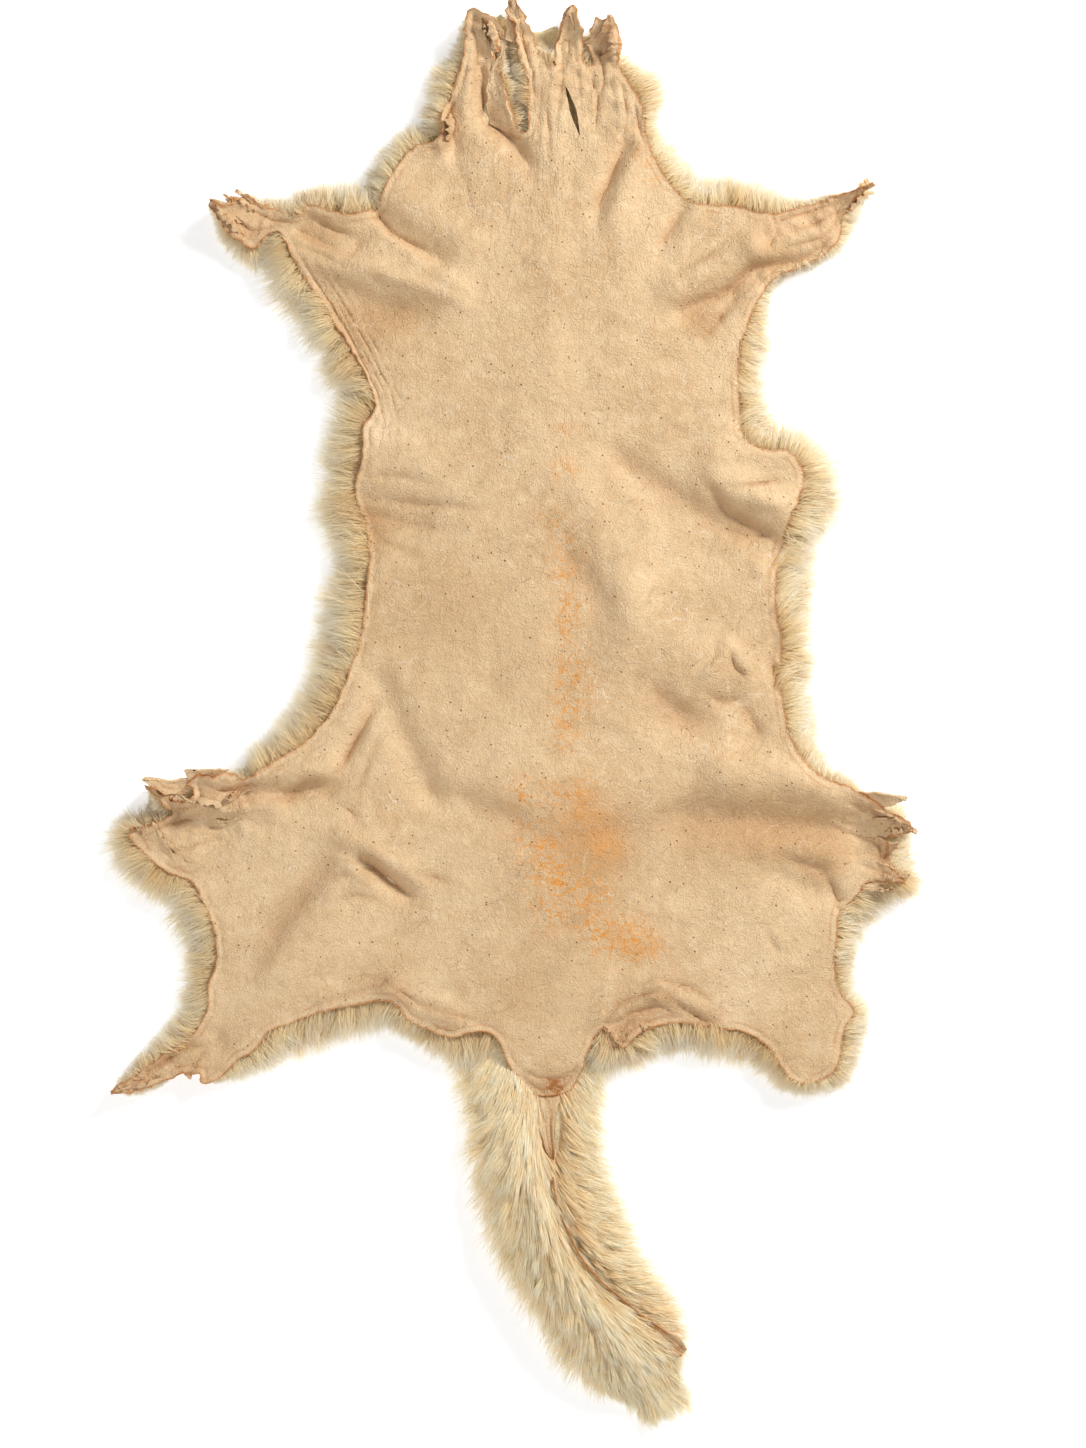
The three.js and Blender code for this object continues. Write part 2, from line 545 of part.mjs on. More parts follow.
// The height of the tail's round back, as a share of its full height, at a share of its half width.
function backAt(share) {
  return (1 - Math.min(1, Math.abs(share)) ** TAIL_FULLNESS) ** (1 / TAIL_FULLNESS);
}

// How high the tail's fur stands at a place.
function tailHeightAt(x, y) {
  const distances = TAIL.map((row) => Math.hypot(row.x - x, row.y - y));
  const i = distances.indexOf(Math.min(...distances));
  const heading = headingAt(TAIL, i);
  const off = (x - TAIL[i].x) * -Math.sin(heading) + (y - TAIL[i].y) * Math.cos(heading);
  const run = (x - TAIL[i].x) * Math.cos(heading) + (y - TAIL[i].y) * Math.sin(heading);
  const other = TAIL[THREE.MathUtils.clamp(i + Math.sign(run), 0, TAIL.length - 1)];
  const gap = Math.hypot(other.x - TAIL[i].x, other.y - TAIL[i].y) || 1;
  const height = THREE.MathUtils.lerp(TAIL[i].height, other.height, Math.abs(run) / gap);
  return backAt(off / TAIL[i].half) * height;
}

// The body of the tail's fur: flat below and full above, with its first section square to
// the skin's midline.
function tailBody() {
  const sections = TAIL.map((row, i) => {
    const heading = i === 0 ? -Math.PI / 2 : headingAt(TAIL, i);
    const outline = Array.from({ length: TAIL_RING }, (_, k) => {
      const share = Math.cos((Math.PI * k) / (TAIL_RING - 1));
      return new THREE.Vector2(share * row.half, backAt(share) * row.height);
    });
    return { outline, place: (flat) => ahead(row, heading, 0, flat.x, flat.y) };
  });
  return solidOf(loft(sections));
}

// The locks along both sides of the tail, which lean towards its tip, and the fan at its end.
function tailLocks() {
  const dice = makeDice(29);
  const path = new THREE.CatmullRomCurve3(TAIL.map(({ x, y, half }) => new THREE.Vector3(x, y, half)));
  return [1, -1].flatMap((side) =>
    Array.from({ length: TAIL_LOCKS_A_SIDE }, (_, k) => {
      const t = (k + 0.6 + side * 0.25) / (TAIL_LOCKS_A_SIDE + 0.2);
      const at = path.getPoint(t);
      const along = path.getTangent(t);
      const lean = TAIL_LOCK_LEAN * (1 - THREE.MathUtils.smoothstep(t, TAIL_FAN_FROM, 1));
      const turn = lean + (dice() - 0.5) * LOCK_UNEVENNESS;
      const heading = Math.atan2(along.y, along.x);
      const root = ahead(at, heading, 0, side * (at.z - TAIL_LOCK_ROOT), 0);
      return lock({
        x: root.x, y: root.y, heading: heading + side * turn,
        length: TAIL_LOCK_LENGTH * uneven(dice), width: TAIL_LOCK_WIDTH,
        height: TAIL_LOCK_HEIGHT * uneven(dice),
      });
    }));
}

// The skin of the tail, from the stub along the open slit to the end: a narrow strip, or the
// channel that it lies in where it is grown by a gap and reaches up to the sky.
function tailStrip(grown, top) {
  const sections = TAIL_SKIN.map((row, i) => {
    const heading = headingAt(TAIL_SKIN, i);
    const half = row.width / 2 + grown;
    const under = Math.max(row.rise, tailHeightAt(row.x, row.y) - row.sunk) - grown;
    const over = top ?? under + SKIN_THICKNESS;
    const end = i === 0 ? -grown : i === TAIL_SKIN.length - 1 ? grown : 0;
    return {
      outline: [[half, under], [half, over], [-half, over], [-half, under]]
        .map(([left, height]) => new THREE.Vector2(left, height)),
      place: (flat) => ahead(row, heading, end, flat.x, flat.y),
    };
  });
  return solidOf(loft(sections));
}

// An outline moved outwards by a little.
function grownBy(outline, by) {
  return outline.map((point, i) => {
    const before = outline.at(i - 1);
    const after = outline[(i + 1) % outline.length];
    const heading = Math.atan2(before.x - after.x, after.y - before.y);
    return ahead(point, heading, by, 0, 0);
  });
}

// The tail's fur: a full round back over a flat belly, cut clear of the skin that lies on it.
function tailFur() {
  const overSkin = slab(gridX, gridY, () => SKY, pileAt).intersect(prism(grownBy(rim, GAP), 0, SKY));
  const { y } = TAIL_SPACE;
  const bodySide = block(
    new THREE.Vector3(GRID_X.from, y - GAP, -1), new THREE.Vector3(-GRID_X.from, 0, SKY));
  return tailLocks().reduce((fur, tuft) => fur.add(tuft), tailBody())
    .subtract(overSkin)
    .subtract(tailStrip(GAP, SKY))
    .subtract(bodySide);
}

// One sub-part with its colour.
function part(name, solid, colour, roughness) {
  const material = new THREE.MeshStandardMaterial({ color: colour, roughness, metalness: 0 });
  const mesh = new THREE.Mesh(geometryOf(solid), material);
  mesh.name = name;
  return mesh;
}

const possumSkin = new THREE.Group();
possumSkin.add(
  part("hide", hide(), SKIN_COLOUR, 0.75),
  part("body_fur", bodyFur(), FUR_COLOUR, 0.95),
  part("tail_fur", tailFur(), FUR_COLOUR, 0.95),
);

export default possumSkin;
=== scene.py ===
# %% [markdown]
# A possum skin, tanned and laid out with its bare side up. This file is a lesson in Blender: each
# step says what a part of the skin is, how it could be made, and why it is made this way.
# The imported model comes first. It gives the size and the place of everything, and what is added
# here goes round it, in the same frame and in metres.

# %% The frame
import math

import bpy
import numpy as np
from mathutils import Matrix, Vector, geometry, kdtree, noise


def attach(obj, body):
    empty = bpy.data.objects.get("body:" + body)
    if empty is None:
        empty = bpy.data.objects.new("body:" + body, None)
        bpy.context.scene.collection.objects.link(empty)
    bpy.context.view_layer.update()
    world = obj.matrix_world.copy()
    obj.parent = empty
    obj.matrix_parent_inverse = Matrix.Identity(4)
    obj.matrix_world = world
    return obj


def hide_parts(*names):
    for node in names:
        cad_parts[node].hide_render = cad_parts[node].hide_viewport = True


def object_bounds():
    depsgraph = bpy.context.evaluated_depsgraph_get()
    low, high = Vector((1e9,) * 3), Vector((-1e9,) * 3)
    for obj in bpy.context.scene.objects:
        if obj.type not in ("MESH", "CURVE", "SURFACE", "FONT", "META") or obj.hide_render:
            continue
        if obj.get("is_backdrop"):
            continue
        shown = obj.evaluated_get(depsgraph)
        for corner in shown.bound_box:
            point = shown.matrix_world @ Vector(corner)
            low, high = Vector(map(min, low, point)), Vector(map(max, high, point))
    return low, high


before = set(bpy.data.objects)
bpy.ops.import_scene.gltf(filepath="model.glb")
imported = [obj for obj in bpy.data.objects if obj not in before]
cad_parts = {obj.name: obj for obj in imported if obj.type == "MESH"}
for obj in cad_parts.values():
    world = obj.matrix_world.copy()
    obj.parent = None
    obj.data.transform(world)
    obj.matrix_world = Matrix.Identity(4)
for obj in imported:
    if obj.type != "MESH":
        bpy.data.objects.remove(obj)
cad_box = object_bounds()
MM = 0.001
print("frame holds", sorted(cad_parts), "in a box of", [tuple(corner) for corner in cad_box])

# %% [markdown]
# The camera looks straight down, as the photograph's does. One pixel of the photograph is 0.56 mm
# on the leather, which settles how high the camera is for its lens.

# %% Camera
PHOTO = (1086, 1448)  # pixels
PIXEL = 0.56  # mm on the leather
ORIGIN_PIXEL = (555, 620)  # of the row frame's origin
LEATHER_HEIGHT = 15  # mm
LENS, SENSOR = 100, 36  # mm

photo_middle = [(PHOTO[0] / 2 - ORIGIN_PIXEL[0]) * PIXEL, (ORIGIN_PIXEL[1] - PHOTO[1] / 2) * PIXEL]
camera_height = PHOTO[1] * PIXEL * LENS / SENSOR + LEATHER_HEIGHT
bpy.ops.object.camera_add(
    location=(photo_middle[0] * MM, photo_middle[1] * MM, camera_height * MM), rotation=(0, 0, 0)
)
camera = bpy.context.object
camera.data.lens = LENS
camera.data.sensor_width = SENSOR
bpy.context.scene.camera = camera
print(f"camera {camera_height:.0f} mm over the floor")

# %% [markdown]
# The light is soft and comes mostly from the upper right, so that the folds show by their shaded
# sides. A bright sky fills the shadows. The floor is plain and pale, and it glows a little, as a
# light table does, which keeps it white under the fur and lets the hair tips shine.

# %% Light and floor
KEY_PLACE, KEY_SIZE, KEY_WATTS, KEY_COLOUR = (1.42, 1.2, 1.3), 0.6, 53, (1.0, 0.99, 0.97)
FILL_PLACE, FILL_SIZE, FILL_WATTS, FILL_COLOUR = (-1.1, -1.5, 1.5), 1.8, 24, (1.0, 0.99, 0.98)
AIM = (0, -0.05, 0)  # m, the middle of the skin with its tail
SKY_STRENGTH = 0.31
FLOOR_SIZE, FLOOR_DROP = 8, 0.0002  # m; it lies a hair's breadth below the model
FLOOR_GREY, FLOOR_ROUGHNESS, FLOOR_GLOW = 0.8, 0.9, 0.47


def area_light(name, place, size, watts, colour):
    """A square lamp that looks at the middle of the skin."""
    bpy.ops.object.light_add(type="AREA", location=place)
    lamp = bpy.context.object
    lamp.name = name
    lamp.data.size = size
    lamp.data.energy = watts
    lamp.data.color = colour
    lamp.rotation_mode = "QUATERNION"
    lamp.rotation_quaternion = (Vector(AIM) - Vector(place)).to_track_quat("-Z", "Y")
    print(name, watts, "watts")


area_light("key_light", KEY_PLACE, KEY_SIZE, KEY_WATTS, KEY_COLOUR)
area_light("fill_light", FILL_PLACE, FILL_SIZE, FILL_WATTS, FILL_COLOUR)

world = bpy.data.worlds.new("soft_sky")
bpy.context.scene.world = world
world.use_nodes = True
world.node_tree.nodes["Background"].inputs["Color"].default_value = (1, 1, 1, 1)
world.node_tree.nodes["Background"].inputs["Strength"].default_value = SKY_STRENGTH
bpy.context.scene.view_settings.view_transform = "Standard"

bpy.ops.object.select_all(action="DESELECT")
bpy.ops.mesh.primitive_plane_add(size=FLOOR_SIZE, location=(0, 0, -FLOOR_DROP))
floor = bpy.context.object
floor.name = "floor"
floor_paint = bpy.data.materials.new("floor_paint")
floor_paint.use_nodes = True
floor_shader = floor_paint.node_tree.nodes["Principled BSDF"].inputs
floor_shader["Base Color"].default_value = (FLOOR_GREY, FLOOR_GREY, FLOOR_GREY, 1)
floor_shader["Roughness"].default_value = FLOOR_ROUGHNESS
floor_shader["Emission Color"].default_value = (1, 1, 1, 1)
floor_shader["Emission Strength"].default_value = FLOOR_GLOW
floor.data.materials.append(floor_paint)
floor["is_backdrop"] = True

# %% [markdown]
# A few helpers come first. Each works on a whole array of points at once, because the skin and
# its hair have hundreds of thousands of them. Millimetres are used up to the making of a mesh.

# %% Helpers for points
def spot(xy, x, y, radius):
    """A soft round spot: 1 in its middle, fading out around it."""
    return np.exp(-((xy[:, 0] - x) ** 2 + (xy[:, 1] - y) ** 2) / radius**2)


def spots(xy, table):
    """Such spots, each with its strength, added up."""
    return sum(strength * spot(xy, x, y, radius) for x, y, radius, strength in table)


def to_left(way):
    """Flat directions turned a quarter to the left."""
    return np.stack([-way[..., 1], way[..., 0]], axis=-1)


def unit(ways):
    """Flat directions made one long."""
    return ways / np.linalg.norm(ways, axis=1)[:, None]


def sampled(at, run, rows):
    """Rows that lie along a run, read at other places of it."""
    return np.stack([np.interp(at, run, column) for column in rows.T], axis=-1)


def between(a, b, m, n, t):
    """Points on the smooth way from a to b, with slope m at its start and n at its end."""
    return a + m * t + (3 * (b - a) - 2 * m - n) * t**2 + (2 * (a - b) + m + n) * t**3


def nearest_of(places):
    """A tree that finds the nearest of the places."""
    tree = kdtree.KDTree(len(places))
    for i, place in enumerate(places):
        tree.insert(place, i)
    tree.balance()
    return tree


print("a spot fades at its radius to", round(math.exp(-1), 2), "of its strength")

# %% [markdown]
# The skin's cut edge is one closed line. Its landmarks are the same as the model's: x, y and how
# far the fur reaches past the edge there, all in millimetres, anticlockwise from the tail's stub.
# A smooth curve goes through them, and a little noise makes it uneven, as a knife and drying do.

# %% The cut edge
EDGE = [
    # right side of the stub, and right rump
    (-2, -267, 0), (8, -264, 0), (14, -254, 0), (18, -243, 8), (21, -236, 18), (27, -229, 30),
    (31, -239, 16), (40, -239, 16), (46, -233, 20), (58, -227, 22), (72, -226, 22), (84, -228, 22),
    (96, -229, 20), (108, -232, 19), (118, -239, 16),
    # right lobe
    (127, -250, 13), (134, -258, 10), (142, -260, 9), (150, -257, 12), (157, -251, 14),
    (161, -240, 16), (163, -229, 16), (168, -218, 11), (162, -211, 11), (158, -202, 12),
    (157, -190, 14), (158, -176, 16),
    # right hind foot
    (160, -163, 21), (168, -156, 21), (173, -149, 20), (180, -146, 18), (188, -146, 16),
    (196, -146, 12), (189, -141, 12), (187, -133, 18), (186, -122, 14), (198, -118, 3),
    (195, -112, 3), (190, -109, 9), (184, -105, 4), (177, -101, 3), (171, -97, 4), (160, -92, 8),
    (150, -88, 10),
    # right flank
    (141, -81, 13), (132, -66, 18), (128, -48, 18), (127, -30, 19), (127, -12, 21), (124, 6, 23),
    (124, 24, 23), (127, 40, 24), (132, 58, 27), (139, 76, 24), (138, 85, 22), (131, 94, 20),
    (122, 94, 18), (113, 96, 17), (106, 104, 20), (104, 120, 18), (103, 142, 18), (107, 162, 17),
    (115, 181, 8), (124, 192, 5),
    # right fore foot
    (133, 196, 3), (143, 200, 4), (152, 206, 5), (160, 215, 7), (162, 226, 10), (168, 236, 8),
    (174, 240, 4), (179, 244, 0), (168, 241, 2), (150, 235, 5), (136, 231, 8), (119, 227, 18),
    # right neck
    (106, 231, 20), (90, 233, 18), (75, 235, 18), (66, 243, 18), (58, 254, 17), (52, 267, 15),
    (50, 279, 8), (48, 290, 17), (42, 300, 20), (36, 311, 12),
    # torn strips of the head
    (36, 320, 0), (34, 329, 0), (31, 337, 0), (28, 335, 0), (22, 336, 0), (20, 327, 0),
    (17, 324, 3), (22, 311, 9), (16, 313, 9), (15, 326, 0), (13, 336, 0), (10, 343, 0),
    (6, 339, 0), (3, 329, 0), (0, 323, 3), (0, 310, 10), (-4, 317, 6), (-10, 320, 4),
    (-12, 328, 0), (-18, 337, 0), (-21, 344, 0), (-24, 346, 0), (-27, 340, 0), (-23, 330, 2),
    (-20, 318, 10), (-16, 303, 11), (-15, 287, 10), (-15, 274, 7), (-20, 274, 7), (-24, 287, 10),
    (-29, 302, 10), (-33, 315, 10), (-31, 324, 8), (-29, 330, 0), (-35, 336, 0), (-45, 342, 0),
    (-49, 334, 4), (-51, 321, 7),
    # left neck
    (-54, 307, 16), (-57, 297, 18), (-63, 285, 16), (-65, 270, 14), (-77, 266, 14),
    (-87, 256, 16), (-95, 243, 16), (-99, 232, 17), (-106, 228, 20),
    # left fore foot
    (-119, 228, 21), (-138, 232, 14), (-145, 227, 12), (-154, 230, 10), (-165, 232, 7),
    (-173, 239, 2), (-177, 235, 0), (-186, 238, 0), (-182, 233, 0), (-193, 232, 2),
    (-187, 223, 5), (-178, 213, 9), (-168, 208, 15), (-161, 215, 17), (-155, 217, 18),
    # left flank
    (-147, 203, 22), (-137, 187, 22), (-126, 170, 23), (-115, 152, 24), (-106, 135, 24),
    (-101, 119, 24), (-107, 108, 26), (-108, 90, 27), (-112, 71, 28), (-106, 50, 25),
    (-104, 32, 22), (-106, 12, 26), (-109, -10, 27), (-116, -31, 25), (-126, -52, 25),
    (-142, -69, 21), (-160, -81, 16),
    # left hind foot
    (-174, -89, 9), (-182, -86, 3), (-189, -86, 0), (-205, -91, 5), (-202, -98, 12),
    (-211, -102, 12), (-218, -98, 8), (-229, -92, 0), (-221, -101, 8), (-215, -108, 12),
    (-224, -114, 12), (-239, -120, 15), (-230, -131, 20), (-219, -141, 24), (-204, -147, 24),
    (-197, -158, 24), (-191, -174, 21), (-190, -191, 20),
    # left leg
    (-194, -205, 18), (-196, -219, 18), (-206, -234, 15), (-221, -244, 12), (-238, -256, 6),
    (-248, -264, 0), (-234, -264, 4), (-217, -258, 2), (-208, -254, 0), (-200, -255, 0),
    (-198, -260, 0), (-186, -256, 5), (-179, -248, 12), (-169, -242, 16), (-161, -232, 19),
    (-146, -225, 21), (-129, -219, 22),
    # left rump, and left side of the stub
    (-112, -215, 20), (-91, -214, 18), (-83, -224, 15), (-72, -229, 14), (-56, -234, 20),
    (-48, -231, 26), (-38, -231, 26), (-31, -236, 18), (-27, -247, 6), (-21, -258, 0),
    (-12, -266, 0),
]
EDGE_STEP = 1.3  # mm between points of the edge
CURVE_STEPS = 24  # between two landmarks, before the points are spread evenly
NICKS = [(900, 0.28), (300, 0.3)]  # how many round the edge, and their size in mm
RAGGED_NICKS = [(1000, 0.34), (500, 0.2)]  # the same, added where the edge is ragged
CUPPED = [
    # x, y, radius, rise: tips whose edge has dried upwards, and where the cut is most ragged
    (-42, 330, 15, 3.2), (-23, 336, 12, 2.6), (8, 333, 12, 2.6), (29, 328, 12, 3.2),
    (-60, 276, 12, 2.0), (-186, 230, 14, 2.8), (-168, 224, 10, 1.6), (172, 238, 13, 2.4),
    (-192, -92, 14, 2.4), (-218, -98, 12, 2.4), (-232, -118, 10, 1.4), (-238, -260, 14, 2.0),
    (-206, -254, 10, 1.4), (194, -115, 11, 2.6), (192, -145, 10, 2.0), (36, -232, 9, 1.4),
]
rng = np.random.default_rng(5)


def knot_gap(a, b):
    """The square root of each distance, which keeps the curve from looping between near landmarks."""
    return np.sqrt(np.linalg.norm(b - a, axis=1))[:, None]


def through(marks):
    """A smooth closed line through the landmarks, as (x, y, fur) every EDGE_STEP."""
    p1 = np.array(marks, float)
    p0, p2, p3 = np.roll(p1, 1, 0), np.roll(p1, -1, 0), np.roll(p1, -2, 0)
    d0, d1, d2 = knot_gap(p0, p1), knot_gap(p1, p2), knot_gap(p2, p3)
    out = ((p1 - p0) / d0 - (p2 - p0) / (d0 + d1) + (p2 - p1) / d1) * d1
    into = ((p2 - p1) / d1 - (p3 - p1) / (d1 + d2) + (p3 - p2) / d2) * d1
    t = np.linspace(0, 1, CURVE_STEPS, endpoint=False)[None, :, None]
    dense = between(p1[:, None], p2[:, None], out[:, None], into[:, None], t)
    return even(dense.reshape(-1, 3), EDGE_STEP)


def even(line, step):
    """The same closed line with its points an even step apart."""
    closed = np.vstack([line, line[:1]])
    run = np.concatenate([[0], np.cumsum(np.linalg.norm(np.diff(closed[:, :2], axis=0), axis=1))])
    at = np.linspace(0, run[-1], int(run[-1] / step), endpoint=False)
    return sampled(at, run, closed)


def outward(line):
    """The flat direction out of a closed anticlockwise line at each of its points."""
    return -to_left(unit(np.roll(line[:, :2], -1, 0) - np.roll(line[:, :2], 1, 0)))


def wobble(count, knots, size):
    """Smooth unevenness round a closed line."""
    values = rng.normal(0, size, knots)
    at = np.linspace(0, knots, count, endpoint=False)
    low = at.astype(int)
    t = (1 - np.cos(np.pi * (at - low))) / 2
    return values[low % knots] * (1 - t) + values[(low + 1) % knots] * t


edge = through(EDGE)
edge_out = outward(edge)
nicks = sum(wobble(len(edge), *row) for row in NICKS)
ragged = spots(edge[:, :2], CUPPED)
nicks += ragged * sum(wobble(len(edge), *row) for row in RAGGED_NICKS)
edge[:, :2] += edge_out * nicks[:, None]
edge[:, 2] = np.maximum(edge[:, 2], 0)
edge_tree = nearest_of([(x, y, 0) for x, y, _ in edge])
print(len(edge), "points round the cut edge,", round(len(edge) * EDGE_STEP / 1000, 2), "m long")

# %% [markdown]
# The skin isn't flat. It lies on its own fur, so it swells and sinks in long soft folds. The rows
# below are the model's folds: a line, half the width of the fold, and its rise, less than nothing
# for a trough. They are added up, which is how a sculptor would lay one stroke over another.

# %% Folds
FOLDS = [
    # name, x0, y0, x1, y1, width, rise
    ("crown of the trunk", 0, 170, 5, -170, 85, 3),
    ("midline of the neck", -3, 290, -3, 130, 9, 1.2),
    ("groove of the left cheek", -40, 322, -38, 285, 7, -4),
    ("groove under the left cheek", -36, 282, -16, 256, 7, -4.5),
    ("left ear fold", -59, 288, -57, 264, 5, -3.5),
    ("left ear edge", -65, 284, -62, 266, 5, 3),
    ("right neck crease", 39, 266, 23, 226, 5, -3),
    ("right neck ridge", 50, 262, 33, 222, 8, 2.4),
    ("right shoulder crease", 72, 232, 59, 206, 5, -2.6),
    ("left shoulder crest", -94, 242, -50, 212, 11, 3.5),
    ("left shoulder groove", -100, 227, -66, 202, 7, -3),
    ("left fore crest", -150, 208, -58, 184, 11, 4.6),
    ("left fore edge", -144, 230, -108, 228, 6, 3.5),
    ("left fore dip", -142, 218, -112, 209, 6, -2.6),
    ("left fore hollow", -134, 184, -78, 166, 13, -2.8),
    ("right fore crest", 68, 186, 110, 206, 10, 4.5),
    ("right fore crest, outer part", 112, 208, 152, 216, 8, 3.5),
    ("right fore hollow", 74, 172, 112, 191, 8, -3.5),
    ("right fore hollow, outer part", 114, 195, 146, 202, 6, -2.4),
    ("left flank swelling", -104, 98, -76, 88, 13, 2.5),
    ("left flank dimple", -112, 56, -80, 58, 14, -5),
    ("right flank crest", 92, 97, 134, 89, 9, 2.6),
    ("right flank hump", 90, 80, 132, 60, 12, 6),
    ("right flank hollow", 92, 58, 126, 36, 12, -3.5),
    ("dell beside the hump", 36, 84, 80, 46, 16, -3.6),
    ("crest beside the dell", 14, 74, 42, 18, 16, 3),
    ("crest of the loin", 42, 18, 40, -18, 14, 2.6),
    ("swelling of the right loin", 46, 0, 86, -30, 17, 4),
    ("hollow of the right loin", 58, -64, 96, -46, 10, -3.4),
    ("pinch by the right edge", 97, -15, 110, -34, 6, 2.6),
    ("crease by the right edge", 126, -20, 106, -66, 9, -3),
    ("rump crest", -20, -92, 92, -92, 24, 3.6),
    ("right hind crest", 98, -86, 186, -101, 13, 6),
    ("right hind hollow", 74, -112, 170, -119, 13, -4.2),
    ("right hock crest", 118, -127, 154, -130, 8, 3.5),
    ("right hock crease", 126, -144, 162, -158, 7, -3),
    ("right lobe step", 116, -230, 152, -198, 12, -2.6),
    ("left loin valley", -99, -36, -71, -98, 9, -4),
    ("left rump valley", -70, -98, -24, -114, 9, -2.2),
    ("left thigh trough", -104, -50, -127, -96, 6, -3.4),
    ("left hind crest", -126, -83, -182, -91, 7, 5),
    ("left hind second crest", -204, -101, -158, -104, 6, 3.6),
    ("left hind hollow", -212, -112, -186, -117, 7, -3),
    ("left hind shadowed dip", -178, -97, -136, -96, 6, -3),
    ("left thigh crest", -104, -124, -152, -192, 17, 4.4),
    ("left thigh pinch", -120, -121, -78, -143, 6, 3.6),
    ("left thigh dip", -110, -135, -83, -154, 6, -3.4),
    ("left rump roll", -128, -213, -92, -205, 6, 2.6),
    ("left rump roll, inner part", -90, -206, -58, -222, 6, 2.6),
    ("right rump roll", 26, -222, 56, -207, 7, 2.4),
    ("right rump roll, outer part", 58, -207, 88, -221, 7, 2.6),
    ("end of the tail stub", -14, -263, 8, -262, 9, -4),
    ("thin fur of the left fore foot", -188, 226, -160, 224, 20, -3.5),
    ("thin fur of the right fore foot", 146, 222, 180, 240, 18, -3.5),
    ("thin fur of the head", -40, 334, 34, 330, 18, -4),
    ("thin fur of the left foot", -236, -112, -200, -120, 26, -2.5),
    ("thin fur of the left leg", -246, -262, -196, -236, 20, -4),
    ("thin fur of the right toes", 176, -132, 196, -132, 18, -2.5),
]
LIFTS = [
    # name, x, y, radius, rise: where the dried edge stands up off its fur
    ("first head strip", -42, 338, 13, 9),
    ("second head strip", -24, 344, 11, 9),
    ("third head strip", 9, 340, 11, 8),
    ("fourth head strip", 29, 333, 11, 9),
    ("left fore claw tips", -189, 233, 13, 7),
    ("right fore claw tip", 176, 243, 11, 7),
    ("left hind spike", -226, -94, 11, 9),
    ("left hind upper flap", -196, -90, 12, 6),
    ("left leg tip", -245, -263, 12, 5),
    ("right upper toe", 196, -116, 10, 6),
    ("right lower toe", 194, -146, 9, 4),
]
PILE_DEPTH, LEAST_PILE, GAP, SKIN_THICKNESS = 13, 6, 0.4, 1.4  # mm


def fold_rise(xy, x0, y0, x1, y1, width, rise):
    """How high one fold stands at each point."""
    start, end = np.array((x0, y0), float), np.array((x1, y1), float)
    length = np.linalg.norm(end - start)
    along = (end - start) / length
    run = (xy - start) @ along
    off = (xy - start) @ to_left(along)
    past = np.maximum(0, np.maximum(-run, run - length))
    return rise * np.exp(-(off**2 + past**2) / width**2)


def pile_height(xy):
    """The top of the fur under the skin."""
    return np.maximum(LEAST_PILE, sum((fold_rise(xy, *row) for _, *row in FOLDS), PILE_DEPTH))


def underside(xy):
    """The underside of the skin, with its dried edges lifted."""
    return pile_height(xy) + GAP + spots(xy, [row for _, *row in LIFTS])


print(len(FOLDS), "folds and", len(LIFTS), "lifted edges")

# %% [markdown]
# On the long folds lie the sharper creases of the dried skin. Each one is a line through a few
# points that fades out at both ends, again with a width and a rise.

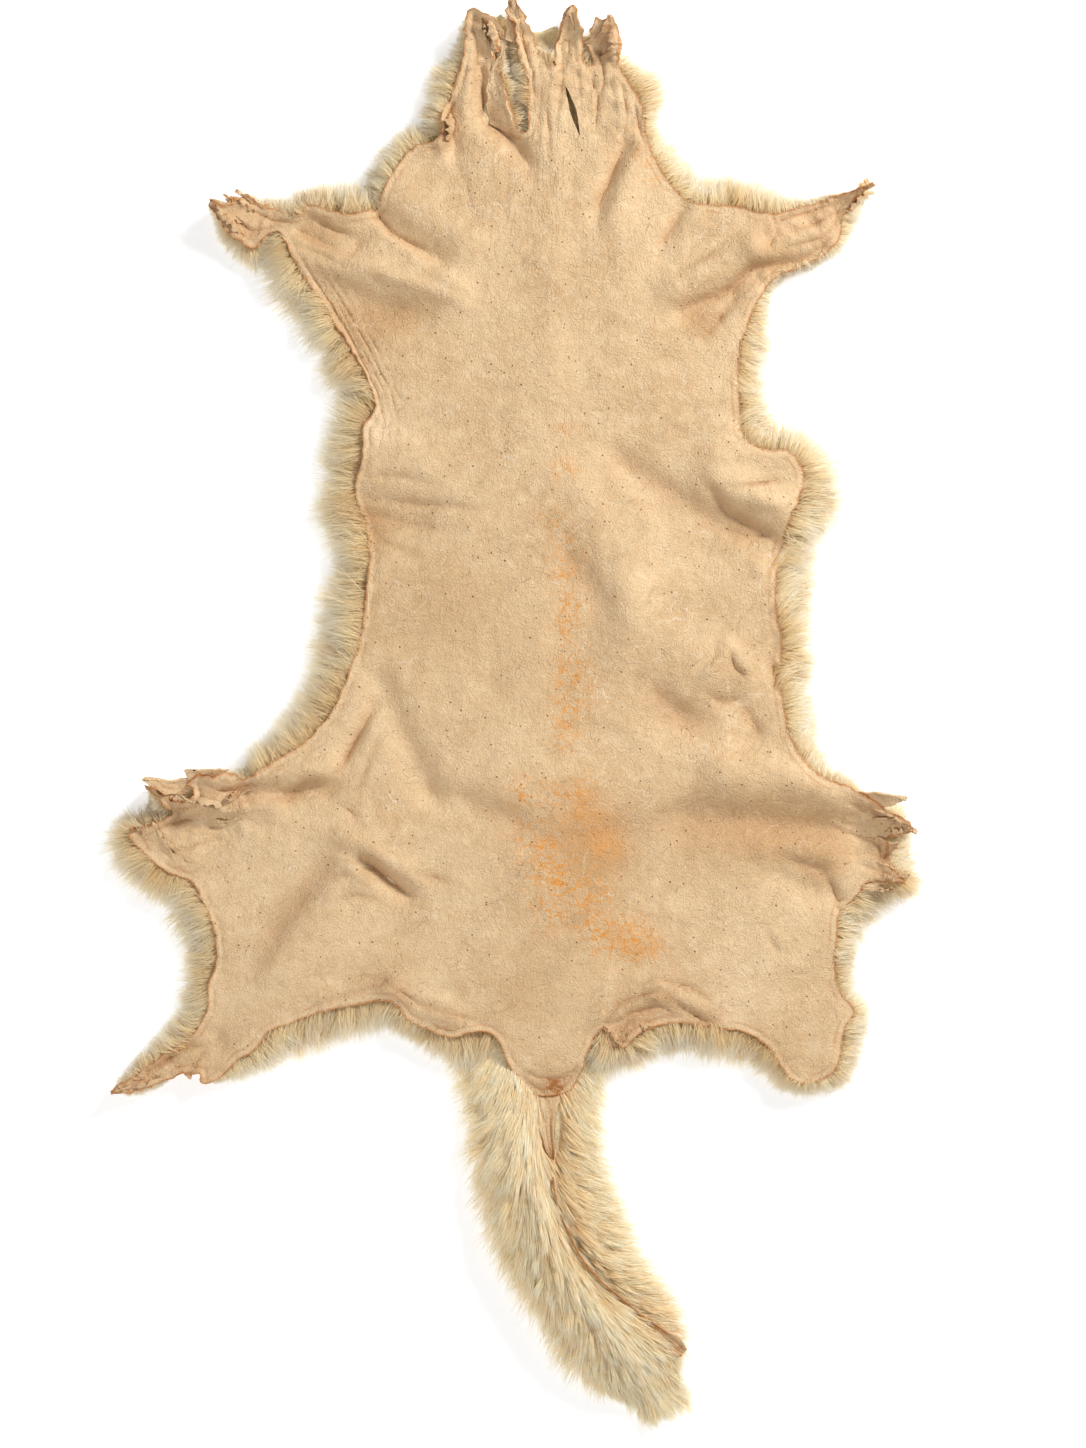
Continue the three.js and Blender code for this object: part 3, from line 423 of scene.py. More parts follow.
# %% Creases
CREASES = [
    # width, rise, points
    (4.0, -2.0, ((-40, 318), (-41, 298), (-38, 280), (-22, 268), (-14, 256))),
    (2.2, -1.2, ((-31, 318), (-26, 300), (-22, 286))),
    (2.0, 0.9, ((-47, 328), (-48, 305), (-50, 285))),
    (2.0, -1.0, ((-56, 300), (-59, 284), (-58, 268))),
    (1.8, -0.9, ((-8, 312), (-8, 292), (-10, 268))),
    (1.8, -0.8, ((5, 318), (3, 296), (0, 274))),
    (2.0, -1.1, ((27, 316), (27, 300), (22, 284))),
    (2.0, 0.9, ((33, 310), (35, 296), (38, 282))),
    (2.2, -1.5, ((38, 266), (31, 248), (22, 229))),
    (3.6, 1.1, ((46, 262), (38, 244), (31, 225))),
    (2.4, -1.4, ((72, 231), (65, 220), (57, 208))),
    (2.0, -0.8, ((50, 276), (56, 262), (66, 248))),
    (3.0, -1.7, ((-103, 233), (-92, 216), (-70, 205))),
    (4.0, 1.5, ((-103, 222), (-75, 200), (-50, 185))),
    (2.6, -1.6, ((-140, 228), (-124, 219), (-108, 214))),
    (2.2, -1.0, ((-108, 214), (-112, 207), (-118, 200))),
    (3.6, 1.2, ((-148, 216), (-110, 199), (-62, 182), (-42, 172))),
    (6.0, -0.6, ((-140, 195), (-112, 185), (-80, 172))),
    (2.4, -1.1, ((-152, 212), (-132, 205), (-112, 196))),
    (3.0, -1.5, ((-148, 219), (-128, 209), (-106, 197))),
    (1.7, -1.0, ((-170, 229), (-158, 224), (-146, 222))),
    (1.7, -0.9, ((-181, 224), (-170, 218), (-160, 220))),
    (1.2, -0.85, ((-143, 204), (-130, 184), (-113, 155), (-100, 128), (-96, 112), (-99, 92))),
    (1.2, -0.70, ((-139, 204), (-126, 183), (-109, 154), (-96, 128), (-92, 112), (-95, 94))),
    (1.2, -0.80, ((-135, 203), (-122, 182), (-105, 153), (-92, 127), (-88, 110), (-91, 96))),
    (1.3, -0.60, ((-128, 200), (-115, 178), (-99, 150), (-87, 124), (-84, 108))),
    (1.3, -0.50, ((-118, 192), (-104, 168), (-92, 146), (-82, 122))),
    (1.2, -0.40, ((-102, 60), (-99, 40), (-101, 12), (-104, -10))),
    (1.2, -0.36, ((-104, -12), (-110, -30), (-120, -50), (-136, -66))),
    (1.2, -0.34, ((121, 10), (122, -10), (122, -30), (124, -48))),
    (3.0, -1.1, ((-108, 70), (-85, 66), (-60, 64), (-35, 60))),
    (3.0, -1.0, ((-106, 60), (-84, 54), (-62, 50))),
    (2.5, -0.9, ((-106, 80), (-88, 81), (-66, 76))),
    (2.2, -0.8, ((-104, 48), (-90, 40), (-76, 36))),
    (3.5, -2.2, ((70, 174), (99, 186), (110, 198), (138, 202))),
    (2.5, -1.3, ((102, 183), (93, 169), (83, 159))),
    (4.0, 1.6, ((106, 177), (113, 186), (119, 194))),
    (2.2, 1.0, ((76, 196), (96, 203), (114, 212))),
    (2.2, -1.0, ((62, 190), (84, 203), (104, 218))),
    (1.8, -1.1, ((128, 208), (146, 213), (160, 222))),
    (1.8, -1.0, ((126, 216), (146, 222), (161, 231))),
    (1.7, -0.9, ((122, 224), (144, 229), (160, 236))),
    (1.6, -0.8, ((138, 204), (148, 208), (156, 214))),
    (1.8, -0.9, ((118, 206), (124, 216), (122, 226))),
    (4.0, -1.8, ((82, 80), (98, 60), (128, 42))),
    (2.0, -1.3, ((100, 74), (114, 76), (131, 78))),
    (4.0, 1.0, ((85, 90), (108, 93), (130, 90))),
    (5.0, 1.2, ((106, 68), (118, 66), (131, 66))),
    (5.0, 1.0, ((97, 45), (110, 34), (122, 18))),
    (2.2, -0.9, ((96, 50), (112, 46), (126, 50))),
    (8.0, -1.3, ((30, 95), (66, 72), (100, 48))),
    (7.0, 1.1, ((22, 92), (42, 68), (62, 42))),
    (8.0, -1.1, ((0, 45), (18, 22), (35, 0))),
    (8.0, -1.9, ((50, -35), (66, -50), (85, -60))),
    (2.4, 1.7, ((80, -33), (89, -26), (97, -16))),
    (2.2, -1.7, ((97, -17), (101, -27), (108, -33))),
    (2.4, -1.3, ((84, -40), (94, -46), (106, -44))),
    (3.0, -1.3, ((118, -20), (124, -30), (127, -42))),
    (3.5, -1.3, ((104, -45), (110, -56), (116, -68))),
    (8.0, 1.1, ((20, -50), (52, -66), (85, -80))),
    (8.0, 1.3, ((110, -75), (130, -86), (150, -95))),
    (8.0, -0.7, ((-93, -38), (-71, -92), (-35, -105), (0, -125), (80, -105), (130, -115), (175, -110))),
    (4.0, -1.5, ((124, -131), (140, -137), (154, -141))),
    (2.2, -1.5, ((150, -140), (157, -152), (160, -165))),
    (2.0, -1.0, ((160, -100), (174, -106), (186, -110))),
    (1.8, -0.9, ((158, -118), (172, -122), (184, -124))),
    (1.8, -0.9, ((168, -136), (178, -140), (188, -142))),
    (2.4, -1.7, ((-101, -48), (-112, -68), (-123, -88))),
    (2.2, -1.1, ((-96, -62), (-106, -82), (-112, -100))),
    (4.0, -1.9, ((-126, -92), (-140, -93), (-158, -104))),
    (2.0, 1.2, ((-130, -82), (-158, -86), (-184, -90))),
    (1.8, -1.1, ((-164, -92), (-180, -95), (-196, -96))),
    (1.8, 1.1, ((-160, -104), (-184, -107), (-204, -102))),
    (2.0, -1.1, ((-196, -108), (-208, -112), (-222, -116))),
    (1.8, -1.0, ((-190, -122), (-206, -128), (-222, -130))),
    (8.0, -1.5, ((-120, -128), (-150, -165), (-170, -200))),
    (3.5, -2.4, ((-111, -128), (-98, -140), (-81, -155))),
    (4.0, 1.7, ((-120, -134), (-112, -141), (-102, -148))),
    (2.5, -1.3, ((-82, -141), (-70, -144), (-58, -147))),
    (2.2, -1.2, ((-121, -103), (-114, -108), (-108, -116))),
    (2.4, -1.2, ((-128, -146), (-116, -143), (-103, -139))),
    (2.2, -1.0, ((-124, -158), (-112, -154), (-96, -158))),
    (2.2, -1.5, ((-140, -217), (-115, -209), (-95, -203), (-75, -215), (-35, -228))),
    (1.8, -0.9, ((-128, -207), (-108, -200), (-88, -202), (-66, -214))),
    (2.2, -1.5, ((22, -235), (35, -215), (58, -207), (75, -218), (90, -228))),
    (1.8, -1.0, ((30, -228), (42, -220), (58, -216), (70, -222))),
    (1.8, -1.2, ((34, -212), (54, -201), (76, -206), (98, -222))),
    (1.4, 0.9, ((48, -212), (62, -210), (78, -216))),
    (1.4, -1.0, ((66, -216), (76, -220), (88, -226))),
    (2.2, -1.1, ((-238, -258), (-216, -246), (-196, -226))),
    (1.8, -0.9, ((-226, -250), (-206, -240), (-190, -238))),
    (1.8, -0.8, ((-20, -250), (-10, -256), (2, -258))),
    (1.8, -0.8, ((16, -248), (10, -254), (2, -258))),
    (2.0, -0.8, ((3, -173), (10, -170), (17, -167))),
    (2.0, -0.8, ((116, -172), (121, -180), (126, -189))),
    (1.4, -1.0, ((-46, 336), (-44, 320), (-46, 300), (-48, 280))),
    (1.4, 0.8, ((-41, 338), (-38, 322), (-36, 304), (-34, 288))),
    (1.3, -0.8, ((-22, 342), (-19, 326), (-13, 308), (-11, 290))),
    (1.3, 0.7, ((-24, 338), (-20, 322), (-15, 304))),
    (1.3, -0.8, ((9, 338), (8, 322), (6, 306))),
    (1.3, 0.7, ((12, 334), (13, 318), (16, 300), (17, 282))),
    (1.4, -1.0, ((29, 332), (26, 320), (27, 306))),
    (1.4, -0.9, ((20, 306), (24, 290), (22, 272))),
    (1.6, -0.8, ((-4, 310), (-5, 290), (-3, 268), (-4, 240))),
    (1.5, -0.8, ((36, 300), (40, 286), (38, 270))),
    (1.3, -0.8, ((44, 292), (47, 276), (52, 260))),
    (1.6, -0.6, ((-58, 262), (-50, 246), (-46, 226))),
    (1.6, -0.6, ((12, 266), (10, 246), (12, 222))),
    (1.8, -0.6, ((-28, 262), (-26, 244), (-30, 222))),
]
CREASE_RISE, CREASE_WIDTH = 1.65, 0.88  # shares, to make all of them sharper or softer together
CREASE_END, CREASE_FADE = 0.04, 0.6  # the least share of the way, and the power, of the fading ends


def crease_rise(xy):
    """All creases together, each fading out towards its ends."""
    total = np.zeros(len(xy))
    for width, rise, points in CREASES:
        line = np.array(points, float)
        legs = np.linalg.norm(np.diff(line, axis=0), axis=1)
        start = np.concatenate([[0], np.cumsum(legs)])
        near = np.full(len(xy), np.inf)
        share = np.zeros(len(xy))
        for i, leg in enumerate(legs):
            along = (line[i + 1] - line[i]) / leg
            run = np.clip((xy - line[i]) @ along, 0, leg)
            away = np.linalg.norm(xy - line[i] - run[:, None] * along, axis=1)
            closer = away < near
            near = np.where(closer, away, near)
            share = np.where(closer, (start[i] + run) / start[-1], share)
        fade = np.sin(np.pi * np.clip(share, CREASE_END, 1 - CREASE_END)) ** CREASE_FADE
        total += CREASE_RISE * rise * fade * np.exp(-((near / (CREASE_WIDTH * width)) ** 2))
    return total


print(len(CREASES), "creases")

# %% [markdown]
# The skin itself is one thin sheet with a ragged outline. A plane with an image would have no
# thickness, and a cloth simulation would smooth the creases away. Here the outline is filled with
# small triangles, as a tailor's cloth is cut to a line, and each point is then raised to its fold.
# Close to the cut edge the skin has dried hard, so it has a bead, a groove and a low ridge there.

# %% Points of the sheet
COARSE, FINE = 2.4, 1.35  # mm between points, on the trunk and where the skin is crumpled
FINE_FROM = 0.4  # strength of the spots below from which the points are fine
JITTER = 0.22  # of the spacing
EDGE_ROOM, SLIT_ROOM = 0.75, 1.0  # mm kept free of points along the edge and the slits
SLIT_STEP = 1.6  # mm between points of a slit
AT_ONCE = 4000  # points tested together, to save memory
CRUMPLES = [
    # x, y, radius, strength
    (-40, 322, 28, 1.0), (0, 322, 34, 0.9), (30, 316, 28, 1.0), (-58, 276, 22, 0.8), (48, 282, 20, 0.7),
    (-176, 225, 26, 1.2), (-142, 222, 22, 0.5), (152, 222, 30, 1.1), (122, 214, 20, 0.5),
    (-204, -106, 34, 1.1), (-162, -96, 24, 0.9), (-226, -252, 28, 1.0), (-192, -240, 20, 0.6),
    (186, -118, 24, 1.2), (190, -146, 15, 0.9), (160, -108, 20, 0.5), (46, -226, 22, 0.8),
    (-90, -218, 26, 0.5), (-50, -230, 18, 0.5), (150, -244, 20, 0.3), (-4, -258, 14, 0.8),
    (-106, -140, 22, 0.45), (104, 186, 20, 0.45), (0, 280, 46, 0.35),
]
FINE_BANDS = [
    # x, y, radius, strength: more points here, for the creases beside the left edge and the hump
    (-140, 200, 16, 0.6), (-126, 176, 16, 0.6), (-110, 150, 16, 0.6), (-97, 124, 16, 0.6),
    (-96, 100, 13, 0.5), (-92, 214, 20, 0.5), (92, 62, 22, 0.5), (112, 70, 18, 0.5), (94, -26, 20, 0.6),
    (-112, -70, 16, 0.5),
]
HOLES = [
    # x0, y0, x1, y1, width: slits and small tears
    (6, 299, 14, 271, 3.6), (-182, 228, -171, 219, 1.8), (-170, 230, -164, 227, 1.2),
]
BEAD, GROOVE, RIDGE = (0, 1.0, 0.2), (3.8, 1.3, -0.55), (6.8, 2.2, 0.3)  # off the edge, width, rise


def inside(xy, outline):
    """Whether each point is inside a closed outline."""
    result = np.zeros(len(xy), bool)
    a, b = outline, np.roll(outline, -1, 0)
    for low in range(0, len(xy), AT_ONCE):
        x, y = xy[low:low + AT_ONCE, 0, None], xy[low:low + AT_ONCE, 1, None]
        crosses = (a[:, 1] > y) != (b[:, 1] > y)
        with np.errstate(divide="ignore", invalid="ignore"):
            at = a[:, 0] + (b[:, 0] - a[:, 0]) * (y - a[:, 1]) / (b[:, 1] - a[:, 1])
        result[low:low + AT_ONCE] = (crosses & (x < at)).sum(axis=1) % 2 == 1
    return result


def lens(x0, y0, x1, y1, width):
    """The outline of a slit, pointed at both ends."""
    ends = np.array([(x0, y0), (x1, y1)], float)
    along = ends[1] - ends[0]
    side = to_left(along) / np.linalg.norm(along)
    t = np.linspace(0, 1, max(5, int(np.linalg.norm(along) / SLIT_STEP)))[:, None]
    bulge = np.sin(np.pi * t) * width / 2 * side
    return np.vstack([ends[0] + along * t - bulge, (ends[0] + along * t + bulge)[-2:0:-1]])


def edge_distance(xy):
    """How far each point is from the cut edge, and the edge point that is nearest."""
    found = [edge_tree.find((x, y, 0)) for x, y in xy]
    return np.array([each[2] for each in found]), np.array([each[1] for each in found])


def staggered(spacing):
    """Points over the whole outline's box, row by row and a little uneven."""
    rows = np.arange(edge[:, 1].min(), edge[:, 1].max(), spacing * 0.866)
    columns = np.arange(edge[:, 0].min(), edge[:, 0].max(), spacing)
    grid = np.array([(x + spacing / 2 * (j % 2), y) for j, y in enumerate(rows) for x in columns])
    return grid + rng.uniform(-JITTER, JITTER, grid.shape) * spacing


coarse, fine = staggered(COARSE), staggered(FINE)
coarse = coarse[spots(coarse, CRUMPLES + FINE_BANDS) < FINE_FROM]
fine = fine[spots(fine, CRUMPLES + FINE_BANDS) >= FINE_FROM]
filling = np.vstack([coarse, fine])
filling = filling[inside(filling, edge[:, :2])]
away, _ = edge_distance(filling)
filling = filling[away > EDGE_ROOM]
slits = [lens(*row) for row in HOLES]
for slit in slits:
    middle, reach = slit.mean(axis=0), np.linalg.norm(slit - slit.mean(axis=0), axis=1).max()
    close = np.linalg.norm(filling - middle, axis=1) < reach + 2
    gap = np.linalg.norm(filling[close][:, None] - slit[None], axis=2).min(axis=1)
    keep = np.ones(len(filling), bool)
    keep[np.flatnonzero(close)[(gap < SLIT_ROOM) | inside(filling[close], slit)]] = False
    filling = filling[keep]
print(len(filling), "points inside the edge,", len(slits), "slits")

# %% [markdown]
# The cut edge, the slits and the points inside are now joined to triangles. A Delaunay triangulation
# gives the roundest ones, and it keeps the lines it is given. It fills the whole outline's hull, so
# what lies outside the cut edge or in a slit is thrown away. What is left is the skin, still flat.

# %% Triangles of the sheet
loops = [edge[:, :2], *slits]
points = np.vstack([*loops, filling])
ties, first = [], 0
for loop in loops:
    ties += [(first + i, first + (i + 1) % len(loop)) for i in range(len(loop))]
    first += len(loop)
laid = geometry.delaunay_2d_cdt([Vector(point) for point in points.tolist()], ties, [], 0, 1e-5)
flat = np.array([tuple(point) for point in laid[0]])
triangles = np.array(laid[2])
middles = flat[triangles].mean(axis=1)
keep = inside(middles, edge[:, :2])
for slit in slits:
    keep &= ~inside(middles, slit)
triangles = triangles[keep]
corners = flat[triangles]
turned = np.cross(corners[:, 1] - corners[:, 0], corners[:, 2] - corners[:, 0])
triangles[turned < 0] = triangles[turned < 0][:, ::-1]

# %% [markdown]
# Each point is raised by what lies under it: the fur, its fold, its creases, and the worked edge.
# Noise at three sizes is added, because no skin is even, and the feet and the head are crumpled:
# there noise is folded at its zero line, which turns soft waves into sharp ridges.

# %% Heights of the sheet
SWELLS = [(1.0, 34, 1.3), (0.45, 13, 7.7), (0.09, 5.5, 4.9)]  # rise and size in mm, and seed
CURLED_EDGE = (0.9, 6, 2.2)  # the same, for waves that die out 6 mm from the edge
RIDGE_SIZE, SMALL_RIDGE_SIZE = 12, 5.5  # mm
RIDGE_RISE, SMALL_RIDGE_RISE = 1.15, 0.45  # mm
RIDGE_SHARPNESS, MOST_CRUMPLED = 2.4, 1.3
PUSH_SIZE, RIDGE_PUSH, SMALL_RIDGE_PUSH = 11, 5, 3  # mm: how far the ridges wander off straight lines
CUP_REACH = 2.8  # mm from the edge
FIRMNESS, FIRMNESS_SPREAD, FIRMNESS_SIZE = 0.55, 0.45, 22  # shares of the worked edge's rise, and mm


def rough(xy, size, seed):
    """Even noise from about -1 to 1 with bumps of a given size."""
    return np.array([noise.noise((x / size, y / size, seed)) for x, y in xy])


away, nearest = edge_distance(flat)
firmness = FIRMNESS + FIRMNESS_SPREAD * rough(edge[:, :2], FIRMNESS_SIZE, 3.1)[nearest]
heights = underside(flat) + crease_rise(flat)
for off, width, rise in (BEAD, GROOVE, RIDGE):
    heights += firmness * rise * np.exp(-(((away - off) / width) ** 2))
heights += sum(rise * rough(flat, size, seed) for rise, size, seed in SWELLS)
wave_rise, wave_size, wave_seed = CURLED_EDGE
heights += wave_rise * np.exp(-away / wave_size) * rough(flat, wave_size, wave_seed)
crumple = np.minimum(MOST_CRUMPLED, spots(flat, CRUMPLES))
push = np.stack([rough(flat, PUSH_SIZE, seed) for seed in (5.1, 8.6)], axis=1)
ridges = 1 - RIDGE_SHARPNESS * np.abs(rough(flat + RIDGE_PUSH * push, RIDGE_SIZE, 0.7))
small_folds = rough(flat + SMALL_RIDGE_PUSH * push, SMALL_RIDGE_SIZE, 9.4)
small_ridges = 1 - RIDGE_SHARPNESS * np.abs(small_folds)
heights += crumple * (RIDGE_RISE * ridges + SMALL_RIDGE_RISE * small_ridges)
heights += spots(flat, CUPPED) * np.exp(-((away / CUP_REACH) ** 2))
print("skin lies between", round(heights.min(), 1), "and", round(heights.max(), 1), "mm")

# %% [markdown]
# Some tips have curled right over in drying. Each curl is a strip rolled round its root line, and
# it is joined to the sheet before the sheet gets its thickness, so that all of it is one skin.

# %% Curled tips
CURLS = [
    # x0, y0, x1, y1, radius, turn in degrees: it rolls to the left of the line
    (-33, 318, -37, 335, 4, 190), (33, 313, 32, 330, 5, 210), (-61, 268, -60, 284, 4.5, 170),
    (-177, 216, -190, 230, 3.5, 190), (-168, 229, -182, 236, 3, 170), (-186, -104, -208, -102, 4, 190),
    (-212, -102, -226, -94, 2.6, 170), (-241, -261, -220, -257, 3, 180), (163, 229, 172, 239, 3, 180),
    (184, -119, 195, -117, 3, 190), (182, -143, 193, -145, 3, 180),
]
CURL_AROUND, CURL_ALONG, CURL_TAPER = 12, 14, 0.45
CURL_UNEVEN, TURN_UNEVEN = 0.25, 0.12  # mm of its radius, and a share of its turn
CURL_ROOM, CURL_LIFT = 0.3, 0.1  # mm inside the tightest curl, and over the skin's underside


def grid_faces(rows, columns):
    """The faces of a grid of points that is listed row by row."""
    return [
        (i * columns + k, i * columns + k + 1, (i + 1) * columns + k + 1, (i + 1) * columns + k)
        for i in range(rows - 1) for k in range(columns - 1)
    ]


def curl(row):
    """The points and faces of one curled tip."""
    x0, y0, x1, y1, radius, turn = row
    root, along = np.array((x0, y0), float), np.array((x1 - x0, y1 - y0), float)
    inward = to_left(along) / np.linalg.norm(along)
    t = np.linspace(0, 1, CURL_ALONG + 1)
    r = radius * (CURL_TAPER + (1 - CURL_TAPER) * np.sin(np.pi * t)) + CURL_UNEVEN * rng.normal(size=len(t))
    r = np.maximum(r, SKIN_THICKNESS + CURL_ROOM)
    end = math.radians(turn) * (1 + TURN_UNEVEN * rng.normal(size=len(t)))
    angle = end[:, None] * np.linspace(0, 1, CURL_AROUND + 1)[None]
    at = root + along * t[:, None]
    low = underside(at) + CURL_LIFT
    across = -np.sin(angle) * r[:, None]
    xy = at[:, None] + across[..., None] * inward
    z = low[:, None] + r[:, None] - np.cos(angle) * r[:, None]
    return np.dstack([xy, z]).reshape(-1, 3), grid_faces(*z.shape)


print(len(CURLS), "curled tips")

# %% [markdown]
# At the feet the skin has torn into small tongues that lie over one another. Each is a leaf-shaped
# sheet that starts on the skin, at a base line, and rises to a ragged tip.

# %% Torn tongues
TONGUES = [
    # x0, y0, x1, y1 of the base, tip x, tip y, rise of the tip, how much its sides curl up
    (-204, -96, -192, -84, -229, -89, 9, 1.6), (-200, -92, -182, -84, -206, -84, 6, 1.0),
    (-176, -92, -158, -88, -184, -101, 3.5, 1.2), (-196, -106, -176, -108, -212, -98, 5, 1.4),
    (-160, -104, -178, -112, -190, -113, 2.4, 0.8), (-232, -124, -210, -142, -226, -112, 2.6, 1.4),
    (-206, -128, -196, -140, -222, -120, 2.0, 1.0), (-224, -116, -214, -112, -238, -117, 3.0, 1.0),
    (170, -96, 182, -106, 196, -100, 6, 1.2), (176, -104, 188, -114, 202, -119, 5, 1.6),
    (172, -112, 182, -120, 190, -110, 4, 1.0), (176, -122, 184, -134, 192, -126, 5, 2.2),
    (174, -136, 178, -150, 198, -143, 3.5, 1.6), (168, -150, 180, -148, 190, -151, 2.0, 0.8),
    (-172, 222, -160, 234, -192, 234, 5, 1.6), (-180, 216, -166, 210, -188, 228, 3.5, 1.8),
    (-162, 232, -150, 226, -178, 240, 4, 1.2), (158, 224, 166, 236, 178, 243, 4, 1.4),
    (150, 236, 160, 228, 172, 241, 3, 1.0), (-212, -250, -196, -240, -204, -256, 2.4, 1.0),
    (-232, -262, -222, -254, -248, -264, 4, 1.4), (28, -226, 42, -222, 37, -238, 3.5, 1.6),
    (44, -222, 58, -218, 50, -230, 2.0, 0.8), (-36, 322, -30, 308, -41, 334, 5, 1.8),
    (20, 322, 34, 318, 30, 337, 6, 2.0), (24, 314, 34, 306, 36, 324, 4, 1.6),
    (2, 326, 12, 326, 8, 342, 3, 1.2), (-28, 326, -18, 322, -23, 346, 4, 1.4),
    (-36, 278, -21, 272, -28, 322, 1.5, 1.6),
]
TONGUE_ACROSS, TONGUE_ALONG = 8, 12
TONGUE_SUNK, TONGUE_LEAST = 0.6, 1.6  # mm: its base in the skin, and its least rise out of it
TONGUE_BEND, TONGUE_UNEVEN = 0.12, 0.10  # shares of its length and of its width
RAGGED_SIDE, RAGGED_TOP = 0.22, 0.35  # mm


def tongue(row):
    """The points and faces of one torn tongue."""
    x0, y0, x1, y1, tip_x, tip_y, rise, cup = row
    base = np.array([(x0, y0), (x1, y1)], float)
    tip = np.array((tip_x, tip_y), float)
    if np.cross(base[1] - base[0], tip - base[0]) < 0:
        base = base[::-1]
    u = np.linspace(0, 1, TONGUE_ACROSS + 1)
    v = np.linspace(0, 1, TONGUE_ALONG + 1)
    foot = base[0] + (base[1] - base[0]) * u[None, :, None]
    narrow = 1 - v[:, None, None] ** 1.7
    middle = base.mean(axis=0)
    bend = to_left(tip - middle) * rng.uniform(-TONGUE_BEND, TONGUE_BEND)
    spine = middle + (tip - middle) * v[:, None, None] + bend * np.sin(np.pi * v)[:, None, None]
    xy = spine + (foot - middle) * narrow * (1 + TONGUE_UNEVEN * rng.normal(size=(len(v), 1, 1)))
    xy = xy + rng.normal(0, RAGGED_SIDE, xy.shape) * v[:, None, None]
    edge_share = np.abs(2 * u - 1)[None, :] ** 2
    low = underside(xy.reshape(-1, 2)).reshape(len(v), len(u))
    raised = (TONGUE_LEAST + rise) * v[:, None] ** 1.3
    cupped = cup * edge_share * np.sin(np.pi * np.minimum(v * 1.2, 1))[:, None]
    z = low - TONGUE_SUNK + raised + cupped
    z += RAGGED_TOP * rng.normal(size=z.shape) * v[:, None]
    return np.dstack([xy, z]).reshape(-1, 3), grid_faces(*z.shape)


print(len(TONGUES), "torn tongues")

# %% [markdown]
# The skin of the tail was slit and left inside the fur. Only its root shows as a bare puckered
# patch, then a thin dried line down the furrow, and a small twisted end.

# %% Skin of the tail
TAIL = [
    # x, y, half width, height of the tail's fur
    (-14, -236, 44, 12), (-13, -254, 39, 18), (-12, -274, 33, 26), (-12, -295, 31, 31),
    (-8, -316, 32, 34), (-1, -337, 33, 36), (8, -357, 31, 36), (18, -375, 30, 35),
    (30, -392, 30, 33), (41, -408, 29, 28), (50, -422, 24, 21), (56, -433, 11, 11),
]
TAIL_SKIN = [
    # x, y, width, sunk in the fur, least height
    (-3, -262, 12, 60, 8.6), (-5, -270, 14, 60, 10.6), (-6, -279, 12, 60, 11.6), (-4, -290, 8, 60, 12.8),
    (-2, -301, 6, 60, 13.4), (-1, -314, 4, 9, 0), (2, -328, 4, 9.5, 0), (8, -343, 4, 8, 0),
    (15, -356, 4, 6, 0), (25, -368, 4, 6, 0), (36, -378, 4, 6, 0), (47, -388, 4, 7, 0),
    (57, -397, 6, 5, 14), (65, -405, 10, 5, 12), (72, -411, 6, 5, 10),
]
TAIL_FULLNESS = 1.9  # power of its round back
RIBBON_ROWS, RIBBON_ACROSS = 140, 11
RIBBON_UNEVEN, UNEVEN_EVERY = 0.12, 6  # a share of its width, and rows from one to the next
FURROW_TOP, FURROW_END = -296, -394  # mm: between them the fur closes over most of the skin
FURROW_HIDES = 0.7  # of its width
SIDES_CURL, PUCKER = 1.2, 0.45  # mm


def tail_height(xy):
    """How high the tail's fur stands at each point."""
    rows = np.array(TAIL, float)
    ahead = unit(np.gradient(rows[:, :2], axis=0))
    i = np.linalg.norm(xy[:, None] - rows[None, :, :2], axis=2).argmin(axis=1)
    off = (xy - rows[i, :2])[:, 0] * -ahead[i, 1] + (xy - rows[i, :2])[:, 1] * ahead[i, 0]
    run = ((xy - rows[i, :2]) * ahead[i]).sum(axis=1)
    j = np.clip(i + np.sign(run).astype(int), 0, len(rows) - 1)
    gap = np.maximum(1e-6, np.linalg.norm(rows[j, :2] - rows[i, :2], axis=1))
    share = np.clip(np.abs(run) / gap, 0, 1)
    height = rows[i, 3] * (1 - share) + rows[j, 3] * share
    half = rows[i, 2] * (1 - share) + rows[j, 2] * share
    back = np.maximum(0, 1 - np.minimum(1, np.abs(off) / half) ** TAIL_FULLNESS) ** (1 / TAIL_FULLNESS)
    return back * height


def smooth_rows(rows, count):
    """Rows of a table as a smooth run of evenly numbered rows."""
    rows = np.array(rows, float)
    at = np.linspace(0, len(rows) - 1, count)
    i = np.clip(at.astype(int), 0, len(rows) - 2)
    t = (at - i)[:, None]
    before, after = np.vstack([rows[:1], rows[:-1]]), np.vstack([rows[1:], rows[-1:]])
    slope = (after - before) / 2
    return between(rows[i], rows[i + 1], slope[i], slope[i + 1], t)


